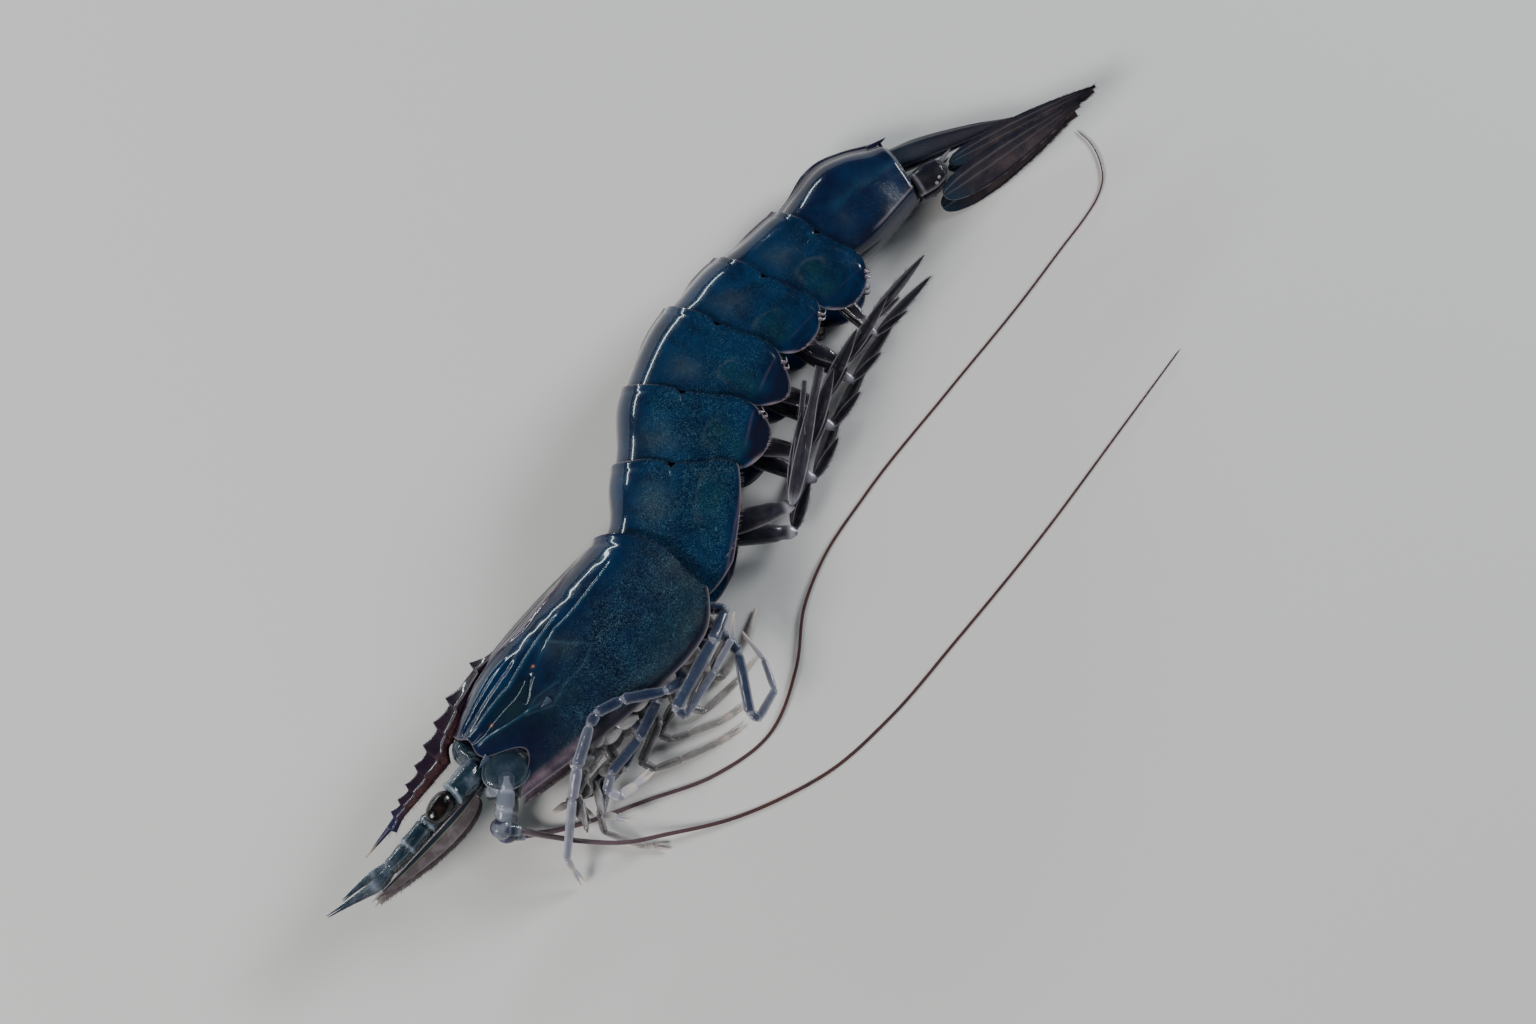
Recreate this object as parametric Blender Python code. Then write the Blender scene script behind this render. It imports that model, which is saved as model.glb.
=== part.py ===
"""Blue shrimp (a penaeid prawn) lying on its right side: a life-size still model.

The head points along +X, the back along -Y, the legs along +Y and the animal's left side up.
Sizes in the tables are millimetres; meshes are written in metres, with the origin on the floor
under the middle of the model. Every shape is a function of a few named sizes.
"""
import math

import bmesh
import bpy
import numpy as np

MM = 0.001
FOOTPRINT_CENTRE = (2.1, 0.66)
GAP = 0.3
SHELL = 0.5
RIM_OVERLAP = 1.3
STEP_UNDER_RIM = SHELL + GAP + 0.1
CARAPACE_WALL = 0.8
JOINT_HALF_GAP = 0.28
DOME_SHARE = 0.45
DOME_POWER = 0.9

# Stations along the back, head to tail: back line x and y, lean of the section in degrees,
# depth down to the lower shell edge, half width, height of the midplane, curl-in of the sides
# and height of the keel.
STATIONS = (
    (58.0, -10.8, -4.0, 13.6, 5.4, 8.6, 0.30, 0.0),
    (52.0, -13.4, -2.0, 17.4, 7.0, 8.5, 0.38, 0.0),
    (45.0, -15.2, 0.0, 20.5, 8.0, 8.4, 0.42, 0.0),
    (34.0, -15.9, 3.0, 22.7, 8.6, 8.4, 0.42, 0.0),
    (26.0, -15.9, 10.0, 23.0, 8.6, 8.4, 0.36, 0.0),
    (21.1, -16.3, 17.0, 21.5, 8.5, 8.3, 0.28, 0.0),
    (16.0, -18.7, 29.0, 20.0, 8.4, 8.2, 0.16, 0.0),
    (11.5, -21.9, 38.0, 19.9, 8.4, 8.2, 0.12, 0.0),
    (1.6, -29.2, 32.0, 20.6, 8.4, 8.2, 0.12, 0.0),
    (-12.4, -33.1, 17.0, 19.0, 8.0, 7.8, 0.12, 0.2),
    (-23.7, -32.9, 13.0, 17.9, 7.3, 7.1, 0.14, 0.5),
    (-35.4, -31.5, 9.0, 16.3, 6.3, 6.1, 0.18, 0.6),
    (-45.7, -31.9, -2.0, 17.0, 5.4, 5.5, 0.24, 0.7),
    (-55.7, -27.0, -14.0, 10.4, 4.0, 4.3, 0.30, 0.7),
)
CARAPACE_REAR, SEGMENT_ENDS = 5, (7, 8, 9, 10, 11, 13)
# How far each side plate hangs below the lower edge, front to rear.
PLEURON_DROP = (1.6, 4.6, 5.0, 3.6, 4.0)

ROSTRUM_REAR, ROSTRUM_TIP, ROSTRUM_HALF, ROSTRUM_TIP_HALF = 43.0, 79.2, 1.15, 0.35
ROSTRUM_TOP = ((43.0, -15.9), (48.0, -16.1), (54.0, -15.1), (60.0, -13.2), (66.0, -11.1),
               (72.0, -9.5), (79.2, -8.35))
ROSTRUM_UNDER = ((58.6, -10.6), (60.4, -8.8), (65.0, -8.5), (72.0, -8.2), (79.2, -8.15))
TOOTH_ROOTS = (45.8, 52.2, 56.2, 59.8, 63.0, 66.0, 68.5, 70.6)
TOOTH_LENGTH, TOOTH_HEIGHT = 2.3, 1.15

MIDPLANE = 8.6
TAIL_MIDPLANE = 4.3
LEG_SIDES = 6
FEELER_SIDES = 6
STEM_SIDES = 8
WHIP_LENGTHS = 4
SEAM_ANGLE = math.radians(50)

# Joints of the second feelers' roots and of their whips: x, y, z and radius.
ANTENNA_LEFT = ((55.8, -1.2, 13.7, 1.3), (57.9, 0.8, 13.2, 1.3), (59.7, 2.1, 12.7, 1.45),
                (61.8, 3.5, 11.6, 1.25))
ANTENNA_RIGHT = ((55.8, -1.2, 3.5, 1.3), (57.9, 0.8, 4.0, 1.3), (59.6, 2.1, 3.8, 1.45),
                 (61.4, 3.5, 3.2, 1.25))
BULB_LEFT = ((62.4, 3.9, 11.2, 1.65), (60.7, 6.1, 10.5, 0.85))
BULB_RIGHT = ((62.0, 3.9, 2.8, 1.65), (60.3, 6.0, 2.2, 0.85))
ANTENNA_LINK = ((59.7, -1.5, 10.4, 1.0), (59.4, -0.6, 12.3, 1.1), (58.0, 0.8, 13.3, 1.1))
SHOULDER_X = (53.6, 54.2, 55.0, 56.1, 57.2, 57.9)
SHOULDER_RADII = (0.7, 1.5, 2.1, 2.3, 1.8, 0.9)
LEFT_WHIP = ((60.3, 6.5, 10.1, 0.6), (57.9, 9.8, 6.4, 0.55), (54.8, 13.7, 3.9, 0.52),
             (50.8, 18.0, 2.9, 0.50), (45.8, 21.4, 1.5, 0.48), (37.2, 27.0, 0.5, 0.46),
             (28.4, 30.9, 0.44, 0.44), (21.5, 33.0, 0.43, 0.43), (9.8, 34.1, 0.41, 0.41),
             (-6.1, 33.5, 0.39, 0.39), (-26.7, 32.2, 0.36, 0.36), (-47.8, 29.9, 0.32, 0.32),
             (-63.8, 28.1, 0.22, 0.22))
RIGHT_WHIP = ((60.0, 6.45, 2.05, 0.6), (57.4, 8.2, 1.1, 0.55), (53.6, 10.6, 0.55, 0.52),
              (44.0, 15.6, 0.5, 0.50), (34.0, 20.6, 0.48, 0.48), (24.0, 22.4, 0.47, 0.47),
              (13.5, 18.4, 0.46, 0.46), (5.7, 12.9, 0.45, 0.45), (-0.9, 10.2, 0.45, 0.44),
              (-13.6, 7.9, 0.43, 0.43), (-34.7, 6.2, 0.41, 0.41), (-53.1, 4.9, 0.38, 0.38),
              (-64.0, 3.7, 0.35, 0.35), (-69.7, 3.1, 0.34, 0.34), (-73.2, 2.4, 0.32, 0.32),
              (-76.1, 1.0, 0.30, 0.30), (-78.1, -1.4, 0.28, 0.28), (-79.2, -4.0, 0.25, 0.25),
              (-79.4, -7.4, 0.22, 0.22))

COLOURS = dict(
    shell=((0.012, 0.035, 0.075), 0.22), thorax=((0.10, 0.12, 0.15), 0.45),
    rostrum=((0.030, 0.016, 0.028), 0.3), eye=((0.006, 0.005, 0.006), 0.08),
    stalk=((0.06, 0.11, 0.14), 0.3), feeler=((0.075, 0.028, 0.030), 0.4),
    scale=((0.055, 0.045, 0.045), 0.35), leg=((0.24, 0.24, 0.30), 0.35),
    swimmeret=((0.060, 0.065, 0.085), 0.35), tail=((0.016, 0.016, 0.022), 0.3))


def material(name):
    """A Principled material with the part's colour and roughness."""
    found = bpy.data.materials.get(name)
    if found:
        return found
    colour, roughness = COLOURS[name]
    made = bpy.data.materials.new(name)
    made.use_nodes = True
    shader = made.node_tree.nodes["Principled BSDF"]
    shader.inputs["Base Color"].default_value = (*colour, 1.0)
    shader.inputs["Roughness"].default_value = roughness
    shader.inputs["Metallic"].default_value = 0.0
    return made


def smooth_curve(knots, values, at):
    """Cubic Hermite through values at knots, with slopes from the neighbours."""
    knots, values, at = (np.asarray(a, float) for a in (knots, values, at))
    slopes = np.gradient(values, knots)
    i = np.clip(np.searchsorted(knots, at, side="right") - 1, 0, len(knots) - 2)
    width = knots[i + 1] - knots[i]
    t = (at - knots[i]) / width
    return ((2 * t**3 - 3 * t**2 + 1) * values[i] + (t**3 - 2 * t**2 + t) * width * slopes[i]
            + (3 * t**2 - 2 * t**3) * values[i + 1] + (t**3 - t**2) * width * slopes[i + 1])


STATION_TABLE = np.array(STATIONS)
STATION_AT = np.concatenate(([0.0], np.cumsum(np.hypot(*np.diff(STATION_TABLE[:, :2], axis=0).T))))


def station(along, column):
    """A column of the station table at distances along the back line."""
    return smooth_curve(STATION_AT, STATION_TABLE[:, column], along)


def back_point(along):
    """The back line's x and y, and the unit direction from the back down to the belly."""
    lean = np.radians(station(along, 2))
    return station(along, 0), station(along, 1), -np.sin(lean), np.cos(lean)


def flank(along, v):
    """Sideways distance and depth of the shell at v: 0 on the back, 0.5 at the widest, 1 below."""
    depth, width = station(along, 3), station(along, 4)
    curl, keel = station(along, 6), station(along, 7)
    angle = np.pi * np.minimum(v, 0.5)
    side = np.maximum(v - 0.5, 0.0) / 0.5
    out = width * np.where(v < 0.5, np.sin(angle) ** DOME_POWER, 1.0 - curl * side**2)
    down = depth * np.where(v < 0.5, DOME_SHARE * (1 - np.cos(angle)),
                            DOME_SHARE + (1 - DOME_SHARE) * side)
    return out, down - keel * np.maximum(1.0 - v / 0.07, 0.0)


def body_surface(along, v, inset=0.0):
    """Points of the body's outside at (along, v), moved in by inset along the section's normal."""
    along, v, inset = np.broadcast_arrays(np.asarray(along, float), v, inset)
    a = np.abs(v)
    step = 1e-3
    out, down = flank(along, a)
    out_b, down_b = flank(along, np.maximum(a - step, 0.0))
    out_a, down_a = flank(along, a + step)
    d_out, d_down = out_a - out_b, down_a - down_b
    length = np.hypot(d_out, d_down)
    crown = a < 1e-6
    n_out = np.where(crown, 0.0, d_down / length)
    n_down = np.where(crown, -1.0, -d_out / length)
    out, down = out - inset * n_out, down - inset * n_down
    x, y, dx, dy = back_point(along)
    z = station(along, 5) + np.sign(v) * out
    return np.stack([x + down * dx, y + down * dy, np.maximum(z, inset)], axis=-1)


def mesh_object(name, verts, faces, look):
    """Put millimetre points and faces into a named object, in metres about the origin."""
    verts = np.array(verts, float)
    verts[:, 2] = np.maximum(verts[:, 2], 0.0)
    verts[:, :2] -= FOOTPRINT_CENTRE
    mesh = bpy.data.meshes.new(name)
    mesh.from_pydata((verts * MM).tolist(), [], faces)
    mesh.materials.append(material(look))
    made = bpy.data.objects.new(name, mesh)
    bpy.context.collection.objects.link(made)
    shape = bmesh.new()
    shape.from_mesh(mesh)
    bmesh.ops.remove_doubles(shape, verts=shape.verts, dist=1e-7)
    bmesh.ops.recalc_face_normals(shape, faces=shape.faces)
    shape.to_mesh(mesh)
    shape.free()
    mesh.shade_smooth()
    mesh.set_sharp_from_angle(angle=SEAM_ANGLE)
    return made


def loft(name, rings, look):
    """Closed skin over rings of an even count, whose point i faces point count-1-i.

    Facing quads are split alike, so that a thin blade never crosses itself.
    """
    rings = np.asarray(rings, float)
    rows, count = rings.shape[:2]
    half = count // 2
    faces = []
    for j in range(rows - 1):
        for i in range(count):
            a, b = j * count + i, j * count + (i + 1) % count
            c, d = b + count, a + count
            faces += [(a, b, c), (a, c, d)] if i < half else [(a, b, d), (b, c, d)]
    for row, order in ((0, -1), (rows - 1, 1)):
        for i in range(half - 1):
            p, q = row * count + i, row * count + i + 1
            r, s = row * count + count - 2 - i, row * count + count - 1 - i
            faces += [(p, q, r)[::order], (p, r, s)[::order]]
    return mesh_object(name, rings.reshape(-1, 3), faces, look)


def fuse(name, pieces, look):
    """Join closed pieces into one closed body and keep only its largest surface."""
    base, others = pieces[0], pieces[1:]
    group = bpy.data.collections.new(name + "_joined")
    bpy.context.scene.collection.children.link(group)
    for other in others:
        group.objects.link(other)
    join = base.modifiers.new("join", "BOOLEAN")
    join.operation, join.operand_type, join.collection = "UNION", "COLLECTION", group
    join.solver = "EXACT"
    graph = bpy.context.evaluated_depsgraph_get()
    mesh = bpy.data.meshes.new_from_object(base.evaluated_get(graph), depsgraph=graph)
    for piece in pieces:
        bpy.data.objects.remove(piece)
    bpy.data.collections.remove(group)
    shape = bmesh.new()
    shape.from_mesh(mesh)
    keep_largest(shape)
    bmesh.ops.triangulate(shape, faces=shape.faces)
    shape.to_mesh(mesh)
    shape.free()
    mesh.name = name
    mesh.materials.clear()
    mesh.materials.append(material(look))
    made = bpy.data.objects.new(name, mesh)
    bpy.context.collection.objects.link(made)
    mesh.shade_smooth()
    mesh.set_sharp_from_angle(angle=SEAM_ANGLE)
    return made


def keep_largest(shape):
    """Delete every connected surface of a bmesh but the one with the most area."""
    left, islands = set(shape.faces), []
    while left:
        stack, island = [left.pop()], []
        while stack:
            face = stack.pop()
            island.append(face)
            for edge in face.edges:
                for near in edge.link_faces:
                    if near in left:
                        left.remove(near)
                        stack.append(near)
        islands.append(island)
    islands.sort(key=lambda faces: sum(f.calc_area() for f in faces))
    scraps = [f for island in islands[:-1] for f in island]
    bmesh.ops.delete(shape, geom=scraps, context="FACES")


def rounded_path(joints, bend, steps):
    """Points (x, y, z, radius) along straight lengths whose corners are rounded by about bend."""
    joints = np.asarray(joints, float)
    path = [joints[0]]
    for before, corner, after in zip(joints[:-2], joints[1:-1], joints[2:]):
        length_in = np.linalg.norm(corner[:3] - before[:3])
        length_out = np.linalg.norm(after[:3] - corner[:3])
        start = corner + (before - corner) * min(bend / length_in, 0.42)
        end = corner + (after - corner) * min(bend / length_out, 0.42)
        for t in np.linspace(0, 1, steps):
            point = (1 - t) ** 2 * start + 2 * t * (1 - t) * corner + t**2 * end
            point[3] = corner[3] * (1.0 + 0.10 * math.sin(math.pi * t))
            path.append(point)
    path.append(joints[-1])
    return np.array(path)


def tube_rings(path, sides, flatten=1.0):
    """Rings of a round limb along a path, kept from twisting; flatten narrows it one way."""
    centres, radii = path[:, :3], path[:, 3]
    tangents = np.gradient(centres, axis=0)
    tangents /= np.linalg.norm(tangents, axis=1)[:, None]
    side = np.cross(tangents[0], (0.0, 0.0, 1.0))
    if np.linalg.norm(side) < 0.2:
        side = np.cross(tangents[0], (0.0, 1.0, 0.0))
    angles = 2 * np.pi * (np.arange(sides) + 0.5) / sides
    rings = []
    for centre, radius, tangent in zip(centres, radii, tangents):
        side = side - tangent * (side @ tangent)
        side /= np.linalg.norm(side)
        over = np.cross(tangent, side)
        rings.append(centre + radius * (np.cos(angles)[:, None] * side
                                        + flatten * np.sin(angles)[:, None] * over))
    return np.array(rings)


def limb(name, joints, look="leg", bend=0.9, steps=3, sides=LEG_SIDES, flatten=1.0):
    """A jointed limb: straight lengths with rounded, slightly swollen joints."""
    return loft(name, tube_rings(rounded_path(joints, bend, steps), sides, flatten), look)


def feeler_tube(name, joints, rows, look="feeler"):
    """A smoothly bending tapered tube through its joints."""
    joints = np.asarray(joints, float)
    run = np.concatenate(([0.0], np.cumsum(np.linalg.norm(np.diff(joints[:, :3], axis=0), axis=1))))
    at = np.linspace(0, run[-1], rows)
    path = np.stack([smooth_curve(run, joints[:, k], at) for k in range(4)], axis=-1)
    return loft(name, tube_rings(path, FEELER_SIDES), look)


def blade(name, root, tip, across, width, look, thick=0.6, fullness=0.8, rows=9,
          root_width=0.45, tip_width=0.15, columns=5, stiff=0.0):
    """A thin leaf from root to tip: width across, tapering to both ends.

    With stiff at 1 the edge away from across runs straight, as an antennal scale's does.
    """
    root, tip, across = (np.asarray(a, float) for a in (root, tip, across))
    along = tip - root
    length = np.linalg.norm(along)
    along /= length
    across = across - along * (across @ along)
    across /= np.linalg.norm(across)
    normal = np.cross(along, across)
    columns = np.linspace(-1, 1, columns)
    rings = []
    for t in np.linspace(0, 1, rows):
        half = 0.5 * width * max(math.sin(math.pi * t**fullness) ** 0.7,
                                 root_width if t < 0.5 else tip_width)
        depth = 0.5 * thick * (1.0 - 0.35 * t)
        centre = root + along * length * t - across * stiff * (0.5 * width - half)
        lens = depth * (1.0 - 0.45 * columns**2)
        top = centre + across * (half * columns)[:, None] + normal * lens[:, None]
        under = centre + across * (half * columns)[:, None] - normal * lens[:, None]
        rings.append(np.concatenate([top, under[::-1]]))
    return loft(name, rings, look)


def oval(name, root, tip, radius, look, sides=12):
    """A closed rounded body of the given radius from root to tip."""
    root, tip = np.asarray(root, float), np.asarray(tip, float)
    angles = np.radians((18, 45, 72, 100, 130, 155, 172))
    path = [(*(root + (tip - root) * (1 - math.cos(a)) / 2), radius * math.sin(a)) for a in angles]
    return loft(name, tube_rings(np.array(path), sides), look)


def mirrored(joints, side, midplane=MIDPLANE):
    """The left side's joints, or their mirror image in the animal's midplane."""
    joints = [list(j) for j in joints]
    if side == "R":
        for joint in joints:
            joint[2] = 2 * midplane - joint[2]
    return joints


def make_carapace():
    """The head shield: a shell open below and at both ends, with its spines raised on it."""
    columns = np.linspace(-1, 1, 21)
    v = np.sign(columns) * np.abs(columns) ** 0.95
    a = np.abs(v)
    end = STATION_AT[CARAPACE_REAR]
    orbit = 1.2 * np.exp(-((a - 0.34) / 0.09) ** 2)
    notch = 6.6 * np.exp(-((a - 0.74) / np.where(a < 0.74, 0.175, 0.19)) ** 2)
    front = 0.7 + orbit + notch
    rear = end + 2.0 * np.sin(np.pi * a) ** 2
    rings = []
    for u in np.linspace(0, 1, 11):
        trim = 1.0 - 0.10 * max(0.0, (u - 0.88) / 0.12) ** 2
        along = front + (rear - front) * u
        outer = body_surface(along, v * trim)
        inner = body_surface(along, v * trim, CARAPACE_WALL)
        rings.append(np.concatenate([outer, inner[::-1]]))
    shell = loft("shell_skin", rings, "shell")
    spines = []
    for side in (1, -1):
        for along, v_at, length in ((2.4, 0.53, 2.4), (14.8, 0.61, 1.8)):
            root = body_surface(along, side * v_at, 0.45)
            tip = body_surface(along - length, side * v_at, -0.35)
            spines.append(feeler_tube("spine", [(*root, 0.55), (*tip, 0.12)], 3, "shell"))
    return fuse("carapace", [shell] + spines, "shell")


def make_rostrum():
    """The head spike: a deep narrow blade on the shield's back line, with its teeth."""
    top = np.array(ROSTRUM_TOP)
    under = np.array(ROSTRUM_UNDER)
    seat = np.linspace(0.5, STATION_AT[3], 40)
    seat_x, seat_y = station(seat, 0)[::-1], station(seat, 1)[::-1]
    rings = []
    for x in np.concatenate([np.linspace(ROSTRUM_REAR, 58.3, 9), np.linspace(59.2, ROSTRUM_TIP, 10)]):
        y_top = smooth_curve(top[:, 0], top[:, 1], x)
        y_seat = np.interp(x, seat_x, seat_y) - GAP - 0.06
        y_under = y_seat if x < 58.4 else np.interp(x, under[:, 0], under[:, 1])
        y_top = min(y_top, y_under - 0.35)
        share = (x - ROSTRUM_REAR) / (ROSTRUM_TIP - ROSTRUM_REAR)
        half = ROSTRUM_HALF * min(1.0, 0.45 + 4 * share)
        half += (ROSTRUM_TIP_HALF - half) * share**1.6
        levels = np.array([0.0, 0.3, 0.62, 1.0])
        widths = half * np.array([0.35, 0.6, 1.0, 0.8])
        y = y_top + (y_under - y_top) * levels
        left = np.stack([np.full(4, x), y, MIDPLANE + widths], axis=-1)
        right = left * (1, 1, -1) + (0, 0, 2 * MIDPLANE)
        rings.append(np.concatenate([left, right[::-1]]))
    pieces = [loft("rostrum_blade", rings, "rostrum")]
    for index, x in enumerate(TOOTH_ROOTS):
        size = 1.0 - 0.05 * index
        y = smooth_curve(top[:, 0], top[:, 1], x)
        root_rear = np.array([x - 1.1 * size, y + 0.5, MIDPLANE])
        root_front = np.array([x + 0.9 * size, y + 0.7, MIDPLANE])
        tip = np.array([x + TOOTH_LENGTH * size * 0.75, y - TOOTH_HEIGHT * size, MIDPLANE])
        side = np.array([0, 0, 0.34])
        base = [root_rear - side, root_front - side, root_front + side, root_rear + side]
        point = np.array([[0.06, 0, -1], [0.12, 0.2, -1], [0.12, 0.2, 1], [0.06, 0, 1]]) * (1, 1, 0.09)
        middle = [b * 0.45 + (tip + p) * 0.55 for b, p in zip(base, point)]
        pieces.append(loft("tooth", [base, middle, tip + point], "rostrum"))
    x, y = 72.2, -8.5
    base = np.array([(x - 1.0, y, 0.3), (x + 0.7, y, 0.3), (x + 0.7, y, -0.3), (x - 1.0, y, -0.3)])
    point = np.array([(x + 1.2, y + 1.0, 0.08), (x + 1.3, y + 0.9, 0.08),
                      (x + 1.3, y + 0.9, -0.08), (x + 1.2, y + 1.0, -0.08)])
    pieces.append(loft("under_tooth", [base + (0, 0, MIDPLANE), point + (0, 0, MIDPLANE)], "rostrum"))
    return fuse("rostrum", pieces, "rostrum")


def closed_section(along, inset, v_low, bulge, points):
    """One ring of the body: the back down to v_low on both sides, and a belly between."""
    v = v_low * np.linspace(-1, 1, 2 * points)
    arch = body_surface(np.full(v.shape, float(along)), v, inset)
    left, right = arch[-1], arch[0]
    dx, dy = back_point(np.array([float(along)]))[2:]
    down = np.array([dx[0], dy[0], 0.0])
    t = np.linspace(0, 1, 8)[1:-1]
    belly = left + (right - left) * t[:, None] + down * (bulge * np.sin(np.pi * t) ** 0.7)[:, None]
    return np.concatenate([arch, belly])


def paired(ring):
    """Turn a ring so that its points face each other across the midplane."""
    return np.roll(ring, 3, axis=0)


def make_thorax():
    """The trunk under the shield, on which the legs and feelers grow."""
    inset = CARAPACE_WALL + GAP + 0.1
    end = STATION_AT[CARAPACE_REAR] - 3.0 - JOINT_HALF_GAP
    rings = [paired(closed_section(along, inset, 0.78, 0.8, 7))
             for along in np.linspace(8.5, end, 8)]
    first = rings[0]
    centre = np.array([58.4, -3.6, MIDPLANE])
    lean = [centre + (p - first.mean(axis=0)) * (0.0, 0.45, 0.45) for p in first]
    neck = [np.array([54.6, -4.2, MIDPLANE]) + (p - first.mean(axis=0)) * (0.0, 0.60, 0.56)
            for p in first]
    return loft("thorax", [lean, neck] + rings, "thorax")


def shell_offset(u, first, hold):
    """How far a segment's shell lies under the full outline: deep up to hold, full behind."""
    t = min(max((u - hold) / (0.85 - hold), 0.0), 1.0)
    return first * (1.0 - t * t * (3 - 2 * t))


def make_segment(index):
    """One tail segment: a muscle core under a shell whose side plates hang below it."""
    name = f"abdomen_{index + 1}"
    begin = STATION_AT[CARAPACE_REAR if index == 0 else SEGMENT_ENDS[index - 1]]
    end = STATION_AT[SEGMENT_ENDS[index]]
    start = begin - 3.0 if index == 0 else begin
    first = CARAPACE_WALL + GAP + 0.15 if index == 0 else STEP_UNDER_RIM
    core_from, core_to = start + JOINT_HALF_GAP, end - JOINT_HALF_GAP
    shell_from, shell_to = start + JOINT_HALF_GAP + 0.1, end + RIM_OVERLAP
    hold = 0.34 if index == 0 else 0.24
    cores = []
    for along in np.linspace(core_from, core_to, 5):
        inset = shell_offset((along - shell_from) / (shell_to - shell_from), first, hold) + 0.25
        cores.append(paired(closed_section(along, inset, 0.80, 0.5, 7)))
    core = loft("core", cores, "shell")
    drop = PLEURON_DROP[index]
    columns = np.linspace(-1, 1, 20)
    rings = []
    for u in np.linspace(0, 1, 8):
        lobe = math.sin(math.pi * u**0.8) ** 0.6 if 0 < u < 1 else 0.0
        low = 0.97 + 0.5 * drop * lobe / (0.55 * station(end, 3))
        if index == 0:
            low -= 0.13 * max(0.0, 1.0 - u / 0.4)
        v = columns * low
        a = np.abs(v)
        bulge = 1.1 * np.exp(-((a - 0.85) / 0.16) ** 2)
        along = shell_from + (shell_to + bulge - shell_from) * u
        inset = shell_offset(u, first, hold)
        outer = body_surface(along, v, inset)
        inner = body_surface(along, v, inset + SHELL)
        rings.append(np.concatenate([outer, inner[::-1]]))
    shell = loft("plate", rings, "shell")
    return fuse(name, [shell, core], "shell")


def make_last_segment():
    """The sixth tail segment: closed below, keeled, with a spine at the rear of its keel."""
    begin, end = STATION_AT[SEGMENT_ENDS[4]], STATION_AT[SEGMENT_ENDS[5]]
    rings = []
    for u in np.linspace(0, 1, 9):
        along = begin + JOINT_HALF_GAP + (end - begin - 2 * JOINT_HALF_GAP) * u
        inset = shell_offset(u, STEP_UNDER_RIM, 0.16) + 0.35 * max(0.0, (u - 0.94) / 0.06)
        rings.append(paired(closed_section(along, inset, 0.84, 1.9, 9)))
    body = loft("segment_body", rings, "shell")
    root = body_surface(end - 2.4, 0.0, 0.6)
    tip = body_surface(end, 0.0, 0.2) + (-1.2, -0.3, 0.0)
    spine = feeler_tube("spine", [(*root, 0.6), (*tip, 0.14)], 3, "shell")
    return fuse("abdomen_6", [body, spine], "shell")


def seated(rings, point, normal):
    """Slide the first ring's points along the limb until they lie in a plane."""
    rings = np.array(rings)
    along = rings[1].mean(axis=0) - rings[0].mean(axis=0)
    rings[0] += ((point - rings[0]) @ normal / (along @ normal))[:, None] * along
    return rings


def make_tail():
    """The telson and the two folded pairs of tail blades with their root joints."""
    x, y, dx, dy = (float(a) for a in back_point(STATION_AT[SEGMENT_ENDS[5]] + 0.05))
    seat, rearward = np.array([x, y, TAIL_MIDPLANE]), np.array([-dy, dx, 0.0])
    root, tip = np.array([-55.1, -23.3, TAIL_MIDPLANE]), np.array([-73.0, -15.5, TAIL_MIDPLANE])
    along = (tip - root) / np.linalg.norm(tip - root)
    across = np.array([0.0, 0.0, 1.0])
    up = np.cross(across, along)
    rings = []
    for t in np.linspace(0, 1, 9):
        half = 2.6 * (1 - t) ** 0.8 + 0.2
        above = 2.8 * (1 - t**1.9) ** 1.3 + 0.2
        below = 1.3 * (1 - t**3) + 0.15
        shape = np.array([(-half, 0.0), (-0.6 * half, 0.88 * above), (-0.2 * half, above),
                          (0.2 * half, above), (0.6 * half, 0.88 * above), (half, 0.0),
                          (0.6 * half, -below), (-0.6 * half, -below)])
        ring = root + (tip - root) * t + shape[:, :1] * across + shape[:, 1:] * up
        rings.append(np.roll(ring, -3, axis=0))
    loft("telson", seated(rings, seat, rearward), "tail")
    for side, sign in (("L", 1), ("R", -1)):
        z = TAIL_MIDPLANE + sign * 2.1
        path = rounded_path([(-53.9, -18.7, z, 2.0), (-56.6, -18.2, z, 2.2), (-59.6, -17.6, z, 1.5)],
                            0.9, 3)
        loft(f"uropod_base_{side}", seated(tube_rings(path, 10, 0.7), seat, rearward), "tail")
        across = (0.25, 1.0, sign * 0.12)
        blade(f"uropod_exopod_{side}", (-55.4, -14.1, TAIL_MIDPLANE + sign * 3.1),
              (-80.9, -9.2, TAIL_MIDPLANE + sign * 2.2), across, 5.2, "tail", 0.7, 0.6, 10, 0.5, 0.25)
        blade(f"uropod_endopod_{side}", (-60.3, -17.4, TAIL_MIDPLANE + sign * 1.7),
              (-85.15, -9.2, TAIL_MIDPLANE + sign * 1.2), across, 3.8, "tail", 0.55, 0.65, 10, 0.6, 0.12)


def make_eyes():
    """The stalked eyes: a widening stalk, and a glossy oval cornea before it."""
    for side in "LR":
        stalk = mirrored([(59.3, -5.8, 11.9, 1.0), (61.6, -4.8, 13.6, 1.5), (63.9, -4.7, 14.0, 1.65)],
                         side)
        limb(f"eyestalk_{side}", stalk, "stalk", 1.2, 4, 10)
        root, tip = mirrored([(64.4, -5.2, 14.05, 0), (68.8, -4.1, 14.4, 0)], side)
        oval(f"eye_{side}", root[:3], tip[:3], 1.5, "eye")


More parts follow.
